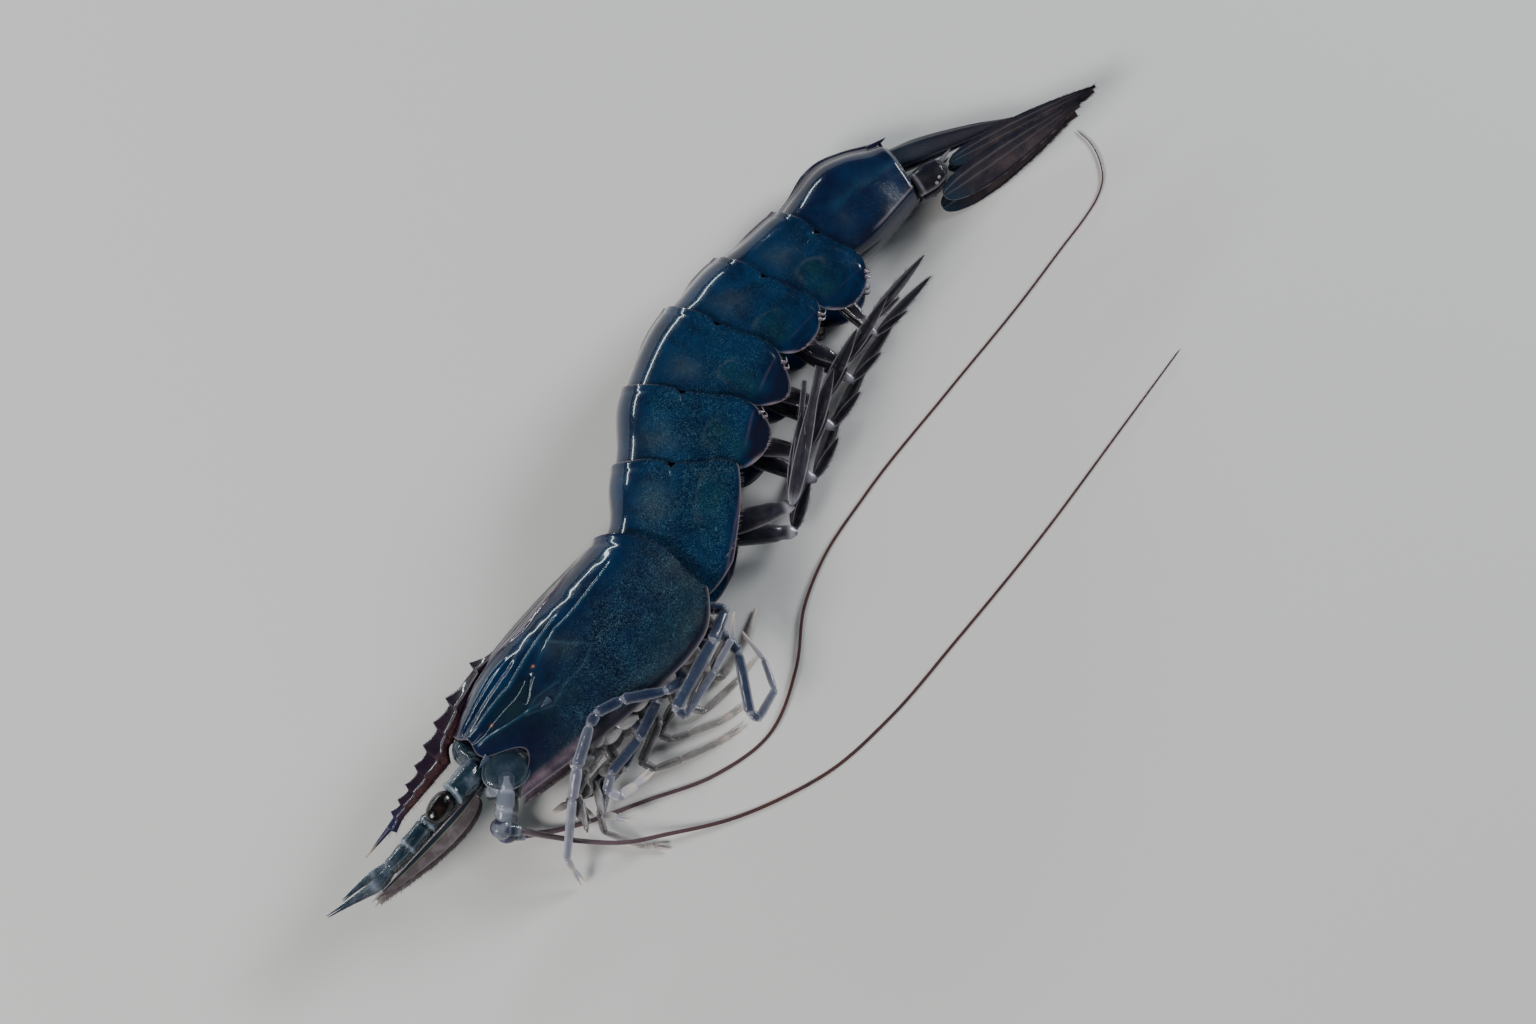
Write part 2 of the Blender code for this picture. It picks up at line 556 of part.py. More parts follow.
def make_antennules():
    """The first feelers: a three-jointed stem and two short whips."""
    for side in "LR":
        stem = mirrored([(58.9, -3.4, 10.0, 1.0), (69.8, -4.8, 10.3, 1.35), (74.2, -4.5, 10.3, 1.3),
                         (78.2, -4.5, 10.1, 0.95), (79.2, -4.5, 10.1, 0.65)], side)
        outer = mirrored([(78.2, -4.2, 10.2, 0.62), (82.0, -4.4, 10.4, 0.62), (85.0, -5.1, 10.2, 0.42),
                          (89.4, -6.3, 9.6, 0.14)], side)
        inner = mirrored([(78.2, -5.0, 9.8, 0.45), (82.0, -5.9, 9.6, 0.36), (86.2, -6.3, 9.4, 0.14)],
                         side)
        fuse(f"antennule_{side}", [limb("stem", stem, "stalk", 0.8, 3, STEM_SIDES),
                                   feeler_tube("outer", outer, 7), feeler_tube("inner", inner, 6)],
             "stalk")


def make_antennae():
    """The second feelers: root joints, the leaf-like scale and the whips in four lengths."""
    for side in "LR":
        root = np.array(mirrored([(60.95, -1.0, 11.75)], side)[0])
        tip = np.array(mirrored([(82.8, -0.7, 10.6)], side)[0])
        across = np.array([0.05, 1.0, -0.5 if side == "L" else 0.5])
        blade(f"antennal_scale_{side}", root, tip, across, 3.7, "scale", 0.7, 0.6, 10, 0.7, 0.2, 5, 1.0)
        joints, bulb = (ANTENNA_LEFT, BULB_LEFT) if side == "L" else (ANTENNA_RIGHT, BULB_RIGHT)
        centre, radius = np.array(bulb[0][:3]), bulb[0][3]
        reach = np.array(bulb[1][:3]) - centre
        reach *= 1.05 * radius / np.linalg.norm(reach)
        shoulder = [(x, -1.3, joints[0][2], radius) for x, radius in zip(SHOULDER_X, SHOULDER_RADII)]
        pieces = [limb("pillar", joints, "stalk", 0.7, 3, STEM_SIDES),
                  oval("bulb", centre - reach, centre + reach, radius, "stalk", 8),
                  feeler_tube("root", [(*centre, 0.75 * radius), bulb[1]], 3, "stalk"),
                  limb("link", mirrored(ANTENNA_LINK, side), "stalk", 0.7, 3, STEM_SIDES),
                  loft("shoulder", tube_rings(np.array(shoulder), 10, 0.5), "stalk")]
        fuse(f"antenna_base_{side}", pieces, "stalk")


def make_whips():
    """The two long feelers, each cut into lengths that meet end to end."""
    for side, joints in (("L", LEFT_WHIP), ("R", RIGHT_WHIP)):
        joints = np.array(joints)
        run = np.concatenate(([0.0], np.cumsum(np.linalg.norm(np.diff(joints[:, :3], axis=0), axis=1))))
        cuts = np.linspace(0, run[-1], WHIP_LENGTHS + 1)
        for part in range(WHIP_LENGTHS):
            begin = cuts[part] + (GAP / 2 if part else 0.0)
            end = cuts[part + 1] - (GAP / 2 if part < WHIP_LENGTHS - 1 else 0.0)
            at = np.linspace(begin, end, 11)
            path = np.stack([smooth_curve(run, joints[:, k], at) for k in range(4)], axis=-1)
            loft(f"antenna_{side}_{part + 1}", tube_rings(path, FEELER_SIDES), "feeler")


def chelate(name, joints, spread):
    """A walking leg that ends in a small pincer: the limb and a second finger."""
    palm, tip = np.array(joints[-2], float), np.array(joints[-1], float)
    grip = palm + (tip - palm) * 0.42
    grip[3] = joints[-2][3] * 0.55
    finger_tip = tip + (*spread, 0.0)
    finger = feeler_tube("finger", [grip, (grip + finger_tip) / 2, finger_tip], 4, "leg")
    return fuse(name, [limb("limb", joints), finger], "leg")


def make_legs():
    """The five pairs of walking legs and the long mouth legs before them."""
    limb("maxilliped_L", [(41.5, 3.4, 10.6, 1.1), (43.1, 6.4, 11.0, 0.95), (47.4, 7.2, 11.2, 0.9),
                          (51.0, 8.2, 10.2, 0.8), (52.0, 10.2, 8.8, 0.65), (51.6, 12.2, 7.8, 0.3)])
    limb("maxilliped_R", [(41.5, 3.4, 6.6, 1.1), (43.1, 8.4, 5.6, 0.95), (48.2, 8.4, 4.6, 0.85),
                          (52.6, 7.6, 3.6, 0.75), (55.0, 6.8, 3.0, 0.3)])
    chelate("leg_1_L", [(36.6, 3.4, 10.6, 1.15), (37.6, 9.0, 8.6, 0.9), (43.0, 10.4, 7.2, 0.75),
                        (47.4, 9.8, 6.0, 0.7), (48.6, 11.2, 5.2, 0.66), (50.6, 12.4, 4.2, 0.6),
                        (47.2, 16.6, 3.0, 0.2)], (0.9, 0.1, 0.0))
    chelate("leg_2_L", [(32.0, 3.4, 10.6, 1.15), (32.6, 7.8, 11.0, 0.95), (38.6, 9.6, 10.8, 0.85),
                        (45.2, 10.0, 10.2, 0.8), (47.7, 11.4, 9.2, 0.75), (46.8, 13.2, 8.6, 0.85),
                        (40.6, 14.4, 8.0, 0.2)], (0.2, -0.9, 0.0))
    chelate("leg_3_L", [(27.4, 3.4, 10.6, 1.15), (27.6, 8.6, 11.6, 0.90), (31.2, 8.2, 15.0, 0.80),
                        (36.6, 4.6, 16.6, 0.82), (40.6, 3.2, 17.0, 0.78), (42.6, 3.6, 16.8, 0.7),
                        (48.2, 6.2, 14.4, 0.64), (52.1, 8.7, 12.0, 0.6), (58.8, 13.4, 4.9, 0.5),
                        (60.0, 17.2, 0.8, 0.2)], (-0.8, 0.2, 0.1))
    limb("leg_4_L", [(22.6, 3.4, 10.6, 1.15), (18.4, 8.2, 10.2, 0.95), (18.9, 11.4, 9.7, 0.88),
                     (24.2, 18.7, 7.4, 0.82), (23.9, 20.2, 6.5, 0.72), (18.9, 18.9, 5.2, 0.6),
                     (16.5, 14.4, 4.4, 0.5), (15.5, 9.0, 3.6, 0.18)])
    limb("leg_5_L", [(17.6, 3.0, 10.6, 1.0), (15.7, 5.8, 11.2, 0.86), (20.6, 7.9, 13.2, 0.84),
                     (32.0, 11.0, 14.7, 0.76), (31.9, 12.7, 13.1, 0.66), (23.9, 11.1, 12.2, 0.58),
                     (18.6, 9.8, 13.1, 0.5), (15.5, 7.4, 14.0, 0.18)])
    chelate("leg_1_R", [(36.6, 3.4, 6.6, 1.1), (37.8, 9.0, 5.2, 0.9), (46.0, 9.8, 3.2, 0.72),
                        (50.8, 12.6, 1.8, 0.62), (51.8, 14.4, 1.2, 0.56), (49.4, 20.0, 0.6, 0.48),
                        (46.6, 22.4, 0.4, 0.2)], (0.5, 0.8, 0.0))
    chelate("leg_2_R", [(32.0, 3.4, 6.6, 1.1), (34.4, 9.4, 5.2, 0.9), (40.4, 11.4, 2.8, 0.72),
                        (39.6, 13.4, 1.5, 0.6), (35.8, 15.2, 0.9, 0.58), (30.6, 17.4, 0.7, 0.5),
                        (25.6, 18.8, 0.4, 0.18)], (0.1, -0.8, 0.0))
    chelate("leg_3_R", [(27.4, 3.4, 6.6, 1.1), (30.4, 9.2, 5.0, 0.9), (35.4, 10.2, 2.0, 0.68),
                        (34.6, 12.0, 0.8, 0.6), (32.0, 13.4, 0.6, 0.58), (27.6, 15.6, 0.6, 0.5),
                        (22.8, 16.8, 0.4, 0.18)], (0.1, -0.8, 0.0))
    limb("leg_4_R", [(22.6, 3.4, 6.6, 1.1), (23.4, 9.0, 5.0, 0.9), (29.2, 11.0, 1.8, 0.72),
                     (28.0, 12.8, 0.8, 0.6), (21.2, 13.2, 0.6, 0.5), (16.6, 12.8, 0.4, 0.18)])
    limb("leg_5_R", [(17.6, 3.2, 6.6, 1.05), (18.2, 8.4, 5.0, 0.9), (24.0, 9.6, 1.6, 0.72),
                     (22.2, 11.2, 0.65, 0.6), (15.4, 9.8, 0.55, 0.5), (11.0, 7.6, 0.4, 0.18)])


# Swimming legs, front to rear: where the stem of the left one ends, and of the right one.
STEM_ENDS = (((-3.2, 2.4, 10.9), (-1.6, 4.6, 3.6)), ((-10.6, -1.6, 10.0), (-9.6, 1.4, 3.4)),
             ((-17.9, -5.3, 9.4), (-17.6, -2.2, 3.2)), ((-25.0, -6.9, 8.8), (-25.0, -4.9, 3.0)),
             ((-32.3, -8.8, 8.0), (-32.6, -7.2, 3.3)))
OUTER_BLADES, INNER_BLADES = (14.0, 12.8, 12.4, 12.2, 13.6), (6.4, 6.0, 5.8, 5.6, 6.4)
BLADE_HEADINGS = (218.0, 206.0, 198.0, 192.0, 184.0)


def make_swimmerets():
    """Five pairs of swimming legs: a flat stem and two leaf-shaped blades each."""
    begin = STATION_AT[CARAPACE_REAR]
    for index, ends in enumerate(STEM_ENDS):
        end = STATION_AT[SEGMENT_ENDS[index]]
        along = begin + (end - begin) * 0.5
        x, y, dx, dy = (float(a) for a in back_point(along))
        depth = float(station(along, 3)) * (DOME_SHARE + (1 - DOME_SHARE) * 0.6) + SHELL + GAP + 1.0
        size = 1.0 - 0.09 * index
        heading = math.radians(BLADE_HEADINGS[index])
        rearward = np.array([math.cos(heading), math.sin(heading), 0.0])
        for side, sign, stem in zip("LR", (1, -1), ends):
            stem = np.array(stem)
            root = np.array([x + depth * dx, y + depth * dy,
                             float(station(along, 5)) + sign * 0.26 * float(station(along, 4))])
            middle = root * 0.5 + stem * 0.5
            peduncle = limb("stem", [(*root, 1.15 * size), (*middle, 1.25 * size), (*stem, 0.95 * size)],
                            "swimmeret", 1.0, 3, 6, 0.75)
            back = (root - stem) / np.linalg.norm(root - stem)
            start = stem + back * 0.4
            rise = 1.5 if side == "L" else 0.45 - stem[2]
            outer_tip = stem + rearward * OUTER_BLADES[index] + (0.0, 0.0, rise)
            turned = np.array([-rearward[1], rearward[0], 0.0])
            inner_tip = stem + (rearward * 0.94 - turned * 0.34) * INNER_BLADES[index]
            across = turned * 0.9 + (0.0, 0.0, 0.35 * sign)
            leaves = [blade("outer", start, outer_tip, across, 3.4 * size, "swimmeret", rows=6, columns=3),
                      blade("inner", start, inner_tip, across, 2.2 * size, "swimmeret", rows=5, columns=3)]
            fuse(f"pleopod_{index + 1}_{side}", [peduncle] + leaves, "swimmeret")
        begin = end


def main():
    """Clear the scene and build every part of the animal."""
    for old in list(bpy.data.objects):
        bpy.data.objects.remove(old)
    make_carapace()
    make_rostrum()
    make_thorax()
    for index in range(5):
        make_segment(index)
    make_last_segment()
    make_tail()
    make_eyes()
    make_antennules()
    make_antennae()
    make_whips()
    make_legs()
    make_swimmerets()


main()
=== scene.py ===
"""Blue shrimp lying on its right side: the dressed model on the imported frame.

Lengths in the tables are millimetres in the mapping frame; SHIFT moves them to the part's frame,
whose origin is on the floor under the middle of the model. Every surface is a function of two
parameters worked out on a grid, and every finish is made of procedural nodes.
"""

import logging
import math
from dataclasses import dataclass
from enum import Enum

import bpy
import numpy as np
from mathutils import Matrix, Vector


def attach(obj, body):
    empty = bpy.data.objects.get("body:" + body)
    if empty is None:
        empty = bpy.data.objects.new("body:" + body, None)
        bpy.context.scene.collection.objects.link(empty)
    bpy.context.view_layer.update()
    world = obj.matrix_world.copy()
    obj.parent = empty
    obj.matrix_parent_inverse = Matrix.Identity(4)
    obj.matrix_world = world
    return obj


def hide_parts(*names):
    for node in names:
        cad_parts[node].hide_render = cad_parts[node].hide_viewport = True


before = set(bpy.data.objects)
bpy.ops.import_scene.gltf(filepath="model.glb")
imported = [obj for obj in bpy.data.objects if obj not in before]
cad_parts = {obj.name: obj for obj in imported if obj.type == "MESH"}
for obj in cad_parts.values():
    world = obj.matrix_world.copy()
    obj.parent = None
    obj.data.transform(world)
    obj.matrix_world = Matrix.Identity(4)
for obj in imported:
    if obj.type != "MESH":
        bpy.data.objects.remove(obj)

MM = 0.001
FLOOR_GAP = 0.00002
CREASE = math.radians(62)
SHIFT = np.array((2.1, 0.66, 0.0))
MIDPLANE = 8.6
TAIL_MIDPLANE = 4.3
GIRTH = 28.0  # millimetres round the shield from the back to the lower edge
LOG = logging.getLogger("shrimp")
Array = np.ndarray
Colour = tuple[float, float, float]
Paint = Colour | bpy.types.NodeSocket


class Side(Enum):
    """The animal's left side, which is up, and its right side."""

    LEFT = "L"
    RIGHT = "R"

    @property
    def sign(self) -> float:
        """1 for the left side and -1 for the right."""
        return 1.0 if self is Side.LEFT else -1.0

    def place(self, joints: tuple, midplane: float = MIDPLANE) -> Array:
        """Joints given for the left side, mirrored in the midplane for the right."""
        placed = np.array(joints, float)
        if self is Side.RIGHT:
            placed[:, 2] = 2 * midplane - placed[:, 2]
        return placed


def smooth_curve(knots: Array, values: Array, at: Array) -> Array:
    """Cubic Hermite curve through values at knots, its slopes taken from the neighbours.

    Args:
        knots: Rising positions.
        values: The value at each position.
        at: Where the curve is read.

    Returns:
        The curve's values, in the shape of at.
    """
    knots, values, at = (np.asarray(a, float) for a in (knots, values, at))
    slopes = np.gradient(values, knots)
    i = np.clip(np.searchsorted(knots, at, side="right") - 1, 0, len(knots) - 2)
    width = knots[i + 1] - knots[i]
    t = (at - knots[i]) / width
    return ((2 * t**3 - 3 * t**2 + 1) * values[i] + (t**3 - 2 * t**2 + t) * width * slopes[i]
            + (3 * t**2 - 2 * t**3) * values[i + 1] + (t**3 - t**2) * width * slopes[i + 1])


def ramp(low: float, high: float, x: Array) -> Array:
    """Smooth step: 0 below low, 1 above high, 3t^2 - 2t^3 between."""
    t = np.clip((np.asarray(x, float) - low) / (high - low), 0.0, 1.0)
    return t * t * (3 - 2 * t)


def bell(x: Array, centre: float, width: float) -> Array:
    """Gaussian bump: e to the minus ((x - centre) / width) squared."""
    return np.exp(-((np.asarray(x, float) - centre) / width) ** 2)


def unit(vectors: Array) -> Array:
    """Vectors divided by their lengths."""
    length = np.linalg.norm(vectors, axis=-1, keepdims=True)
    return vectors / np.maximum(length, 1e-9)


def turns(count: int) -> Array:
    """Evenly spaced angles of one full turn."""
    return 2 * np.pi * np.arange(count) / count


def sheet(rows: int, columns: int) -> tuple[Array, Array]:
    """A plate's two parameters: a column from 0 to 1 and a row from -1 to 1."""
    return np.linspace(0, 1, rows)[:, None], np.linspace(-1, 1, columns)[None, :]


def wave(x: Array, count: float) -> Array:
    """Ripples from 0 to 1 with count crests in a length of 1: a raised cosine."""
    return 0.5 + 0.5 * np.cos(2 * np.pi * x * count)


def closing(t: Array, end: float, reach: float) -> Array:
    """Factor that draws a radius in: the square root of (end - t) / reach, from 0 to 1."""
    return np.sqrt(np.clip((end - t) / reach, 0.0, 1.0))


def ripple(points: Array, size: float, seed: int) -> Array:
    """Smooth noise from about -1 to 1: seeded lattice values blended over each cell's corners.

    Args:
        points: Places, with x, y, z last.
        size: Edge of a lattice cell.
        seed: Seed of the lattice values.

    Returns:
        One value for each place.
    """
    table = np.random.default_rng(seed).uniform(-1, 1, 4096)
    scaled = np.asarray(points, float) / size
    cell = np.floor(scaled).astype(np.int64)
    blend = scaled - cell
    blend = blend * blend * (3 - 2 * blend)
    total = np.zeros(scaled.shape[:-1])
    for corner in range(8):
        offset = np.array([corner & 1, corner >> 1 & 1, corner >> 2 & 1])
        key = cell + offset
        index = (key[..., 0] * 73856093 ^ key[..., 1] * 19349663 ^ key[..., 2] * 83492791) & 4095
        total += table[index] * np.prod(np.where(offset, blend, 1 - blend), axis=-1)
    return total


def uneven(places: Array, depth: float, size: float, seed: int, way: Array | float = 1.0) -> Array:
    """Places moved along a way by depth times the noise of a lump size and seed."""
    return places + depth * ripple(places, size, seed)[..., None] * way


def line_distance(x: Array, y: Array, path: tuple) -> tuple[Array, Array]:
    """Shortest distance to a line of straight lengths, and how far along it that is, 0 to 1.

    Each length's nearest point is the projection on it, clipped to its ends.
    """
    knots = np.array(path, float)
    run = np.concatenate(([0.0], np.cumsum(np.hypot(*np.diff(knots, axis=0).T))))
    best, place = np.full(np.shape(x), 1e9), np.zeros(np.shape(x))
    for (x0, y0), (x1, y1), start, stop in zip(knots[:-1], knots[1:], run[:-1], run[1:]):
        dx, dy = x1 - x0, y1 - y0
        t = np.clip(((x - x0) * dx + (y - y0) * dy) / (dx * dx + dy * dy), 0, 1)
        away = np.hypot(x - x0 - t * dx, y - y0 - t * dy)
        nearer = away < best
        best = np.where(nearer, away, best)
        place = np.where(nearer, (start + t * (stop - start)) / run[-1], place)
    return best, place


class Skin:
    """Gathers closed surfaces with their marks and makes one mesh object of them."""

    def __init__(self) -> None:
        """Start with nothing."""
        self.points: list[Array] = []
        self.quads: list[Array] = []
        self.tris: list[Array] = []
        self.marks: dict[str, list[tuple[int, Array]]] = {}
        self.count = 0

    def add(self, points: Array, quads: Array, tris: Array, marks: dict) -> "Skin":
        """Take in one closed surface and turn it outside out where its volume is negative.

        Args:
            points: N places in millimetres.
            quads: Four indices a face.
            tris: Three indices a face.
            marks: Values from 0 to 1 at the points by name, or one value for all.

        Returns:
            This skin.
        """
        quads, tris = np.reshape(quads, (-1, 4)).astype(int), np.reshape(tris, (-1, 3)).astype(int)
        halves = np.concatenate([quads[:, :3], quads[:, (0, 2, 3)], tris])
        a, b, c = (points[halves[:, k]] - points.mean(axis=0) for k in range(3))
        if np.sum(a * np.cross(b, c)) < 0:
            quads, tris = quads[:, ::-1], tris[:, ::-1]
        self.points.append(points)
        self.quads.append(quads + self.count)
        self.tris.append(tris + self.count)
        for name, value in marks.items():
            values = np.broadcast_to(np.asarray(value, float), (len(points),))
            self.marks.setdefault(name, []).append((self.count, values))
        self.count += len(points)
        return self

    def tube(self, rings: Array, marks: dict | None = None) -> "Skin":
        """Closed tube over rings of points, its ends capped round their middles.

        Args:
            rings: Rows by columns by x, y, z.
            marks: Values of rows by columns, or of one for all, kept from 0 to 1.

        Returns:
            This skin.
        """
        rows, columns = rings.shape[:2]
        grid = np.arange(rows * columns).reshape(rows, columns)
        after = np.roll(grid, -1, axis=1)
        quads = np.stack([grid[:-1], after[:-1], after[1:], grid[1:]], axis=-1)
        ends = rows * columns + np.arange(2)
        first = np.stack([after[0], grid[0], np.full(columns, ends[0])], axis=-1)
        last = np.stack([grid[-1], after[-1], np.full(columns, ends[1])], axis=-1)
        middles = rings[[0, -1]].mean(axis=1)
        points = np.concatenate([rings.reshape(-1, 3), middles])
        spread = {}
        for name, value in (marks or {}).items():
            full = np.broadcast_to(np.clip(value, 0, 1), (rows, columns))
            spread[name] = np.concatenate([full.reshape(-1), full[[0, -1]].mean(axis=1)])
        return self.add(points, quads, np.concatenate([first, last]), spread)

    def wall(self, outer: Array, inner: Array, marks: dict | None = None) -> "Skin":
        """Closed plate between an outer and an inner grid, joined round all four edges.

        Args:
            outer: Rows by columns by x, y, z.
            inner: The same for the other face.
            marks: Values of rows by columns, or of one for all, kept from 0 to 1, the same on
                both faces.

        Returns:
            This skin.
        """
        rows, columns = outer.shape[:2]
        top = np.arange(rows * columns).reshape(rows, columns)
        low = top + rows * columns
        faces = [np.stack([top[:-1, :-1], top[:-1, 1:], top[1:, 1:], top[1:, :-1]], axis=-1),
                 np.stack([low[:-1, :-1], low[1:, :-1], low[1:, 1:], low[:-1, 1:]], axis=-1)]
        quads = [f.reshape(-1, 4) for f in faces]
        for edge, turned in ((0, False), (-1, True), ((slice(None), 0), True), ((slice(None), -1), False)):
            above, below = top[edge], low[edge]
            strip = np.stack([above[:-1], below[:-1], below[1:], above[1:]], axis=-1)
            quads.append(strip[:, ::-1] if turned else strip)
        points = np.concatenate([outer.reshape(-1, 3), inner.reshape(-1, 3)])
        spread = {}
        for name, value in (marks or {}).items():
            full = np.broadcast_to(np.clip(value, 0, 1), (rows, columns)).reshape(-1)
            spread[name] = np.concatenate([full, full])
        return self.add(points, np.concatenate(quads), np.zeros((0, 3)), spread)

    def hairs(self, roots: Array, ways: Array, lengths: Array, thick: float, sag: float) -> "Skin":
        """Many fine tapering bristles of three sides, each bent once half way.

        A bristle is a triangle at its root, a smaller one at its middle and a point at its tip.

        Args:
            roots: N places.
            ways: N directions of any length.
            lengths: N lengths.
            thick: Radius at the root.
            sag: How far the middle stands off the straight line, as a share of the length.

        Returns:
            This skin.
        """
        way, length = unit(ways), np.asarray(lengths)[:, None]
        helper = np.where(np.abs(way[:, 2:]) > 0.9, (1.0, 0.0, 0.0), (0.0, 0.0, 1.0))
        side = unit(np.cross(way, helper))
        over = np.cross(way, side)
        angles = turns(3)[None, :, None]
        ring = np.cos(angles) * side[:, None] + np.sin(angles) * over[:, None]
        middle = roots + way * length * 0.5 + over * length * sag
        points = np.concatenate([roots[:, None] + ring * thick, middle[:, None] + ring * thick * 0.6,
                                 (roots + way * length)[:, None]], axis=1)
        base = np.arange(len(roots))[:, None, None] * 7
        sides = np.array([(0, 1, 4, 3), (1, 2, 5, 4), (2, 0, 3, 5)])
        ends = np.array([(2, 1, 0), (3, 4, 6), (4, 5, 6), (5, 3, 6)])
        self.points.append(points.reshape(-1, 3))
        self.quads.append((base + sides).reshape(-1, 4) + self.count)
        self.tris.append((base + ends).reshape(-1, 3) + self.count)
        self.count += points.shape[0] * 7
        return self

    def build(self, name: str, finish: bpy.types.Material, slot: str, *nodes: str) -> bpy.types.Object:
        """Make the mesh object, ride it on the root and hide the CAD nodes that it stands for.

        Args:
            name: The piece's name.
            finish: Its material.
            slot: The slot that the finish belongs to; not used.
            *nodes: The CAD nodes that it stands for.

        Returns:
            The new object.
        """
        points = (np.concatenate(self.points) - SHIFT) * MM
        points[:, 2] = np.maximum(points[:, 2], FLOOR_GAP)
        quads, tris = np.concatenate(self.quads), np.concatenate(self.tris)
        corners = np.concatenate([quads.reshape(-1), tris.reshape(-1)]).astype(np.int32)
        starts = np.concatenate([np.arange(len(quads)) * 4,
                                 len(quads) * 4 + np.arange(len(tris)) * 3])
        mesh = bpy.data.meshes.new(name)
        mesh.vertices.add(len(points))
        mesh.vertices.foreach_set("co", points.astype(np.float32).reshape(-1))
        mesh.loops.add(len(corners))
        mesh.loops.foreach_set("vertex_index", corners)
        mesh.polygons.add(len(starts))
        mesh.polygons.foreach_set("loop_start", starts.astype(np.int32))
        for mark, parts in self.marks.items():
            values = np.zeros(len(points), np.float32)
            for start, part in parts:
                values[start:start + len(part)] = part
            mesh.attributes.new(mark, "FLOAT", "POINT").data.foreach_set("value", values)
        mesh.update(calc_edges=True)
        mesh.validate()
        mesh.shade_smooth()
        mesh.set_sharp_from_angle(angle=CREASE)
        mesh.materials.append(finish)
        piece = bpy.data.objects.new(name, mesh)
        bpy.context.scene.collection.objects.link(piece)
        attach(piece, "root")
        if nodes:
            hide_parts(*nodes)
        LOG.info("%s: %d faces", name, len(starts))
        return piece


class Signal:
    """A shader socket that arithmetic can be written on."""

    def __init__(self, graph: "Graph", socket: bpy.types.NodeSocket) -> None:
        """Wrap an output socket of a graph."""
        self.graph, self.socket = graph, socket

    def __add__(self, other: "Signal | float") -> "Signal":
        """This plus other."""
        return self.graph.math("ADD", self, other)

    def __sub__(self, other: "Signal | float") -> "Signal":
        """This minus other."""
        return self.graph.math("SUBTRACT", self, other)

    def __rsub__(self, other: float) -> "Signal":
        """Other minus this."""
        return self.graph.math("SUBTRACT", other, self)

    def __mul__(self, other: "Signal | float") -> "Signal":
        """This times other."""
        return self.graph.math("MULTIPLY", self, other)

    def __truediv__(self, other: "Signal | float") -> "Signal":
        """This over other."""
        return self.graph.math("DIVIDE", self, other)

    __radd__, __rmul__ = __add__, __mul__

    def size(self) -> "Signal":
        """The value without its sign."""
        return self.graph.math("ABSOLUTE", self)

    def clip(self) -> "Signal":
        """The value kept from 0 to 1."""
        return self.graph.math("MAXIMUM", self.graph.math("MINIMUM", self, 1.0), 0.0)

    def step(self, low: float, high: float) -> "Signal":
        """Smooth step from 0 at low to 1 at high, or from 1 to 0 where low is the larger."""
        t = ((self - low) / (high - low)).clip()
        return t * t * (3.0 - 2.0 * t)


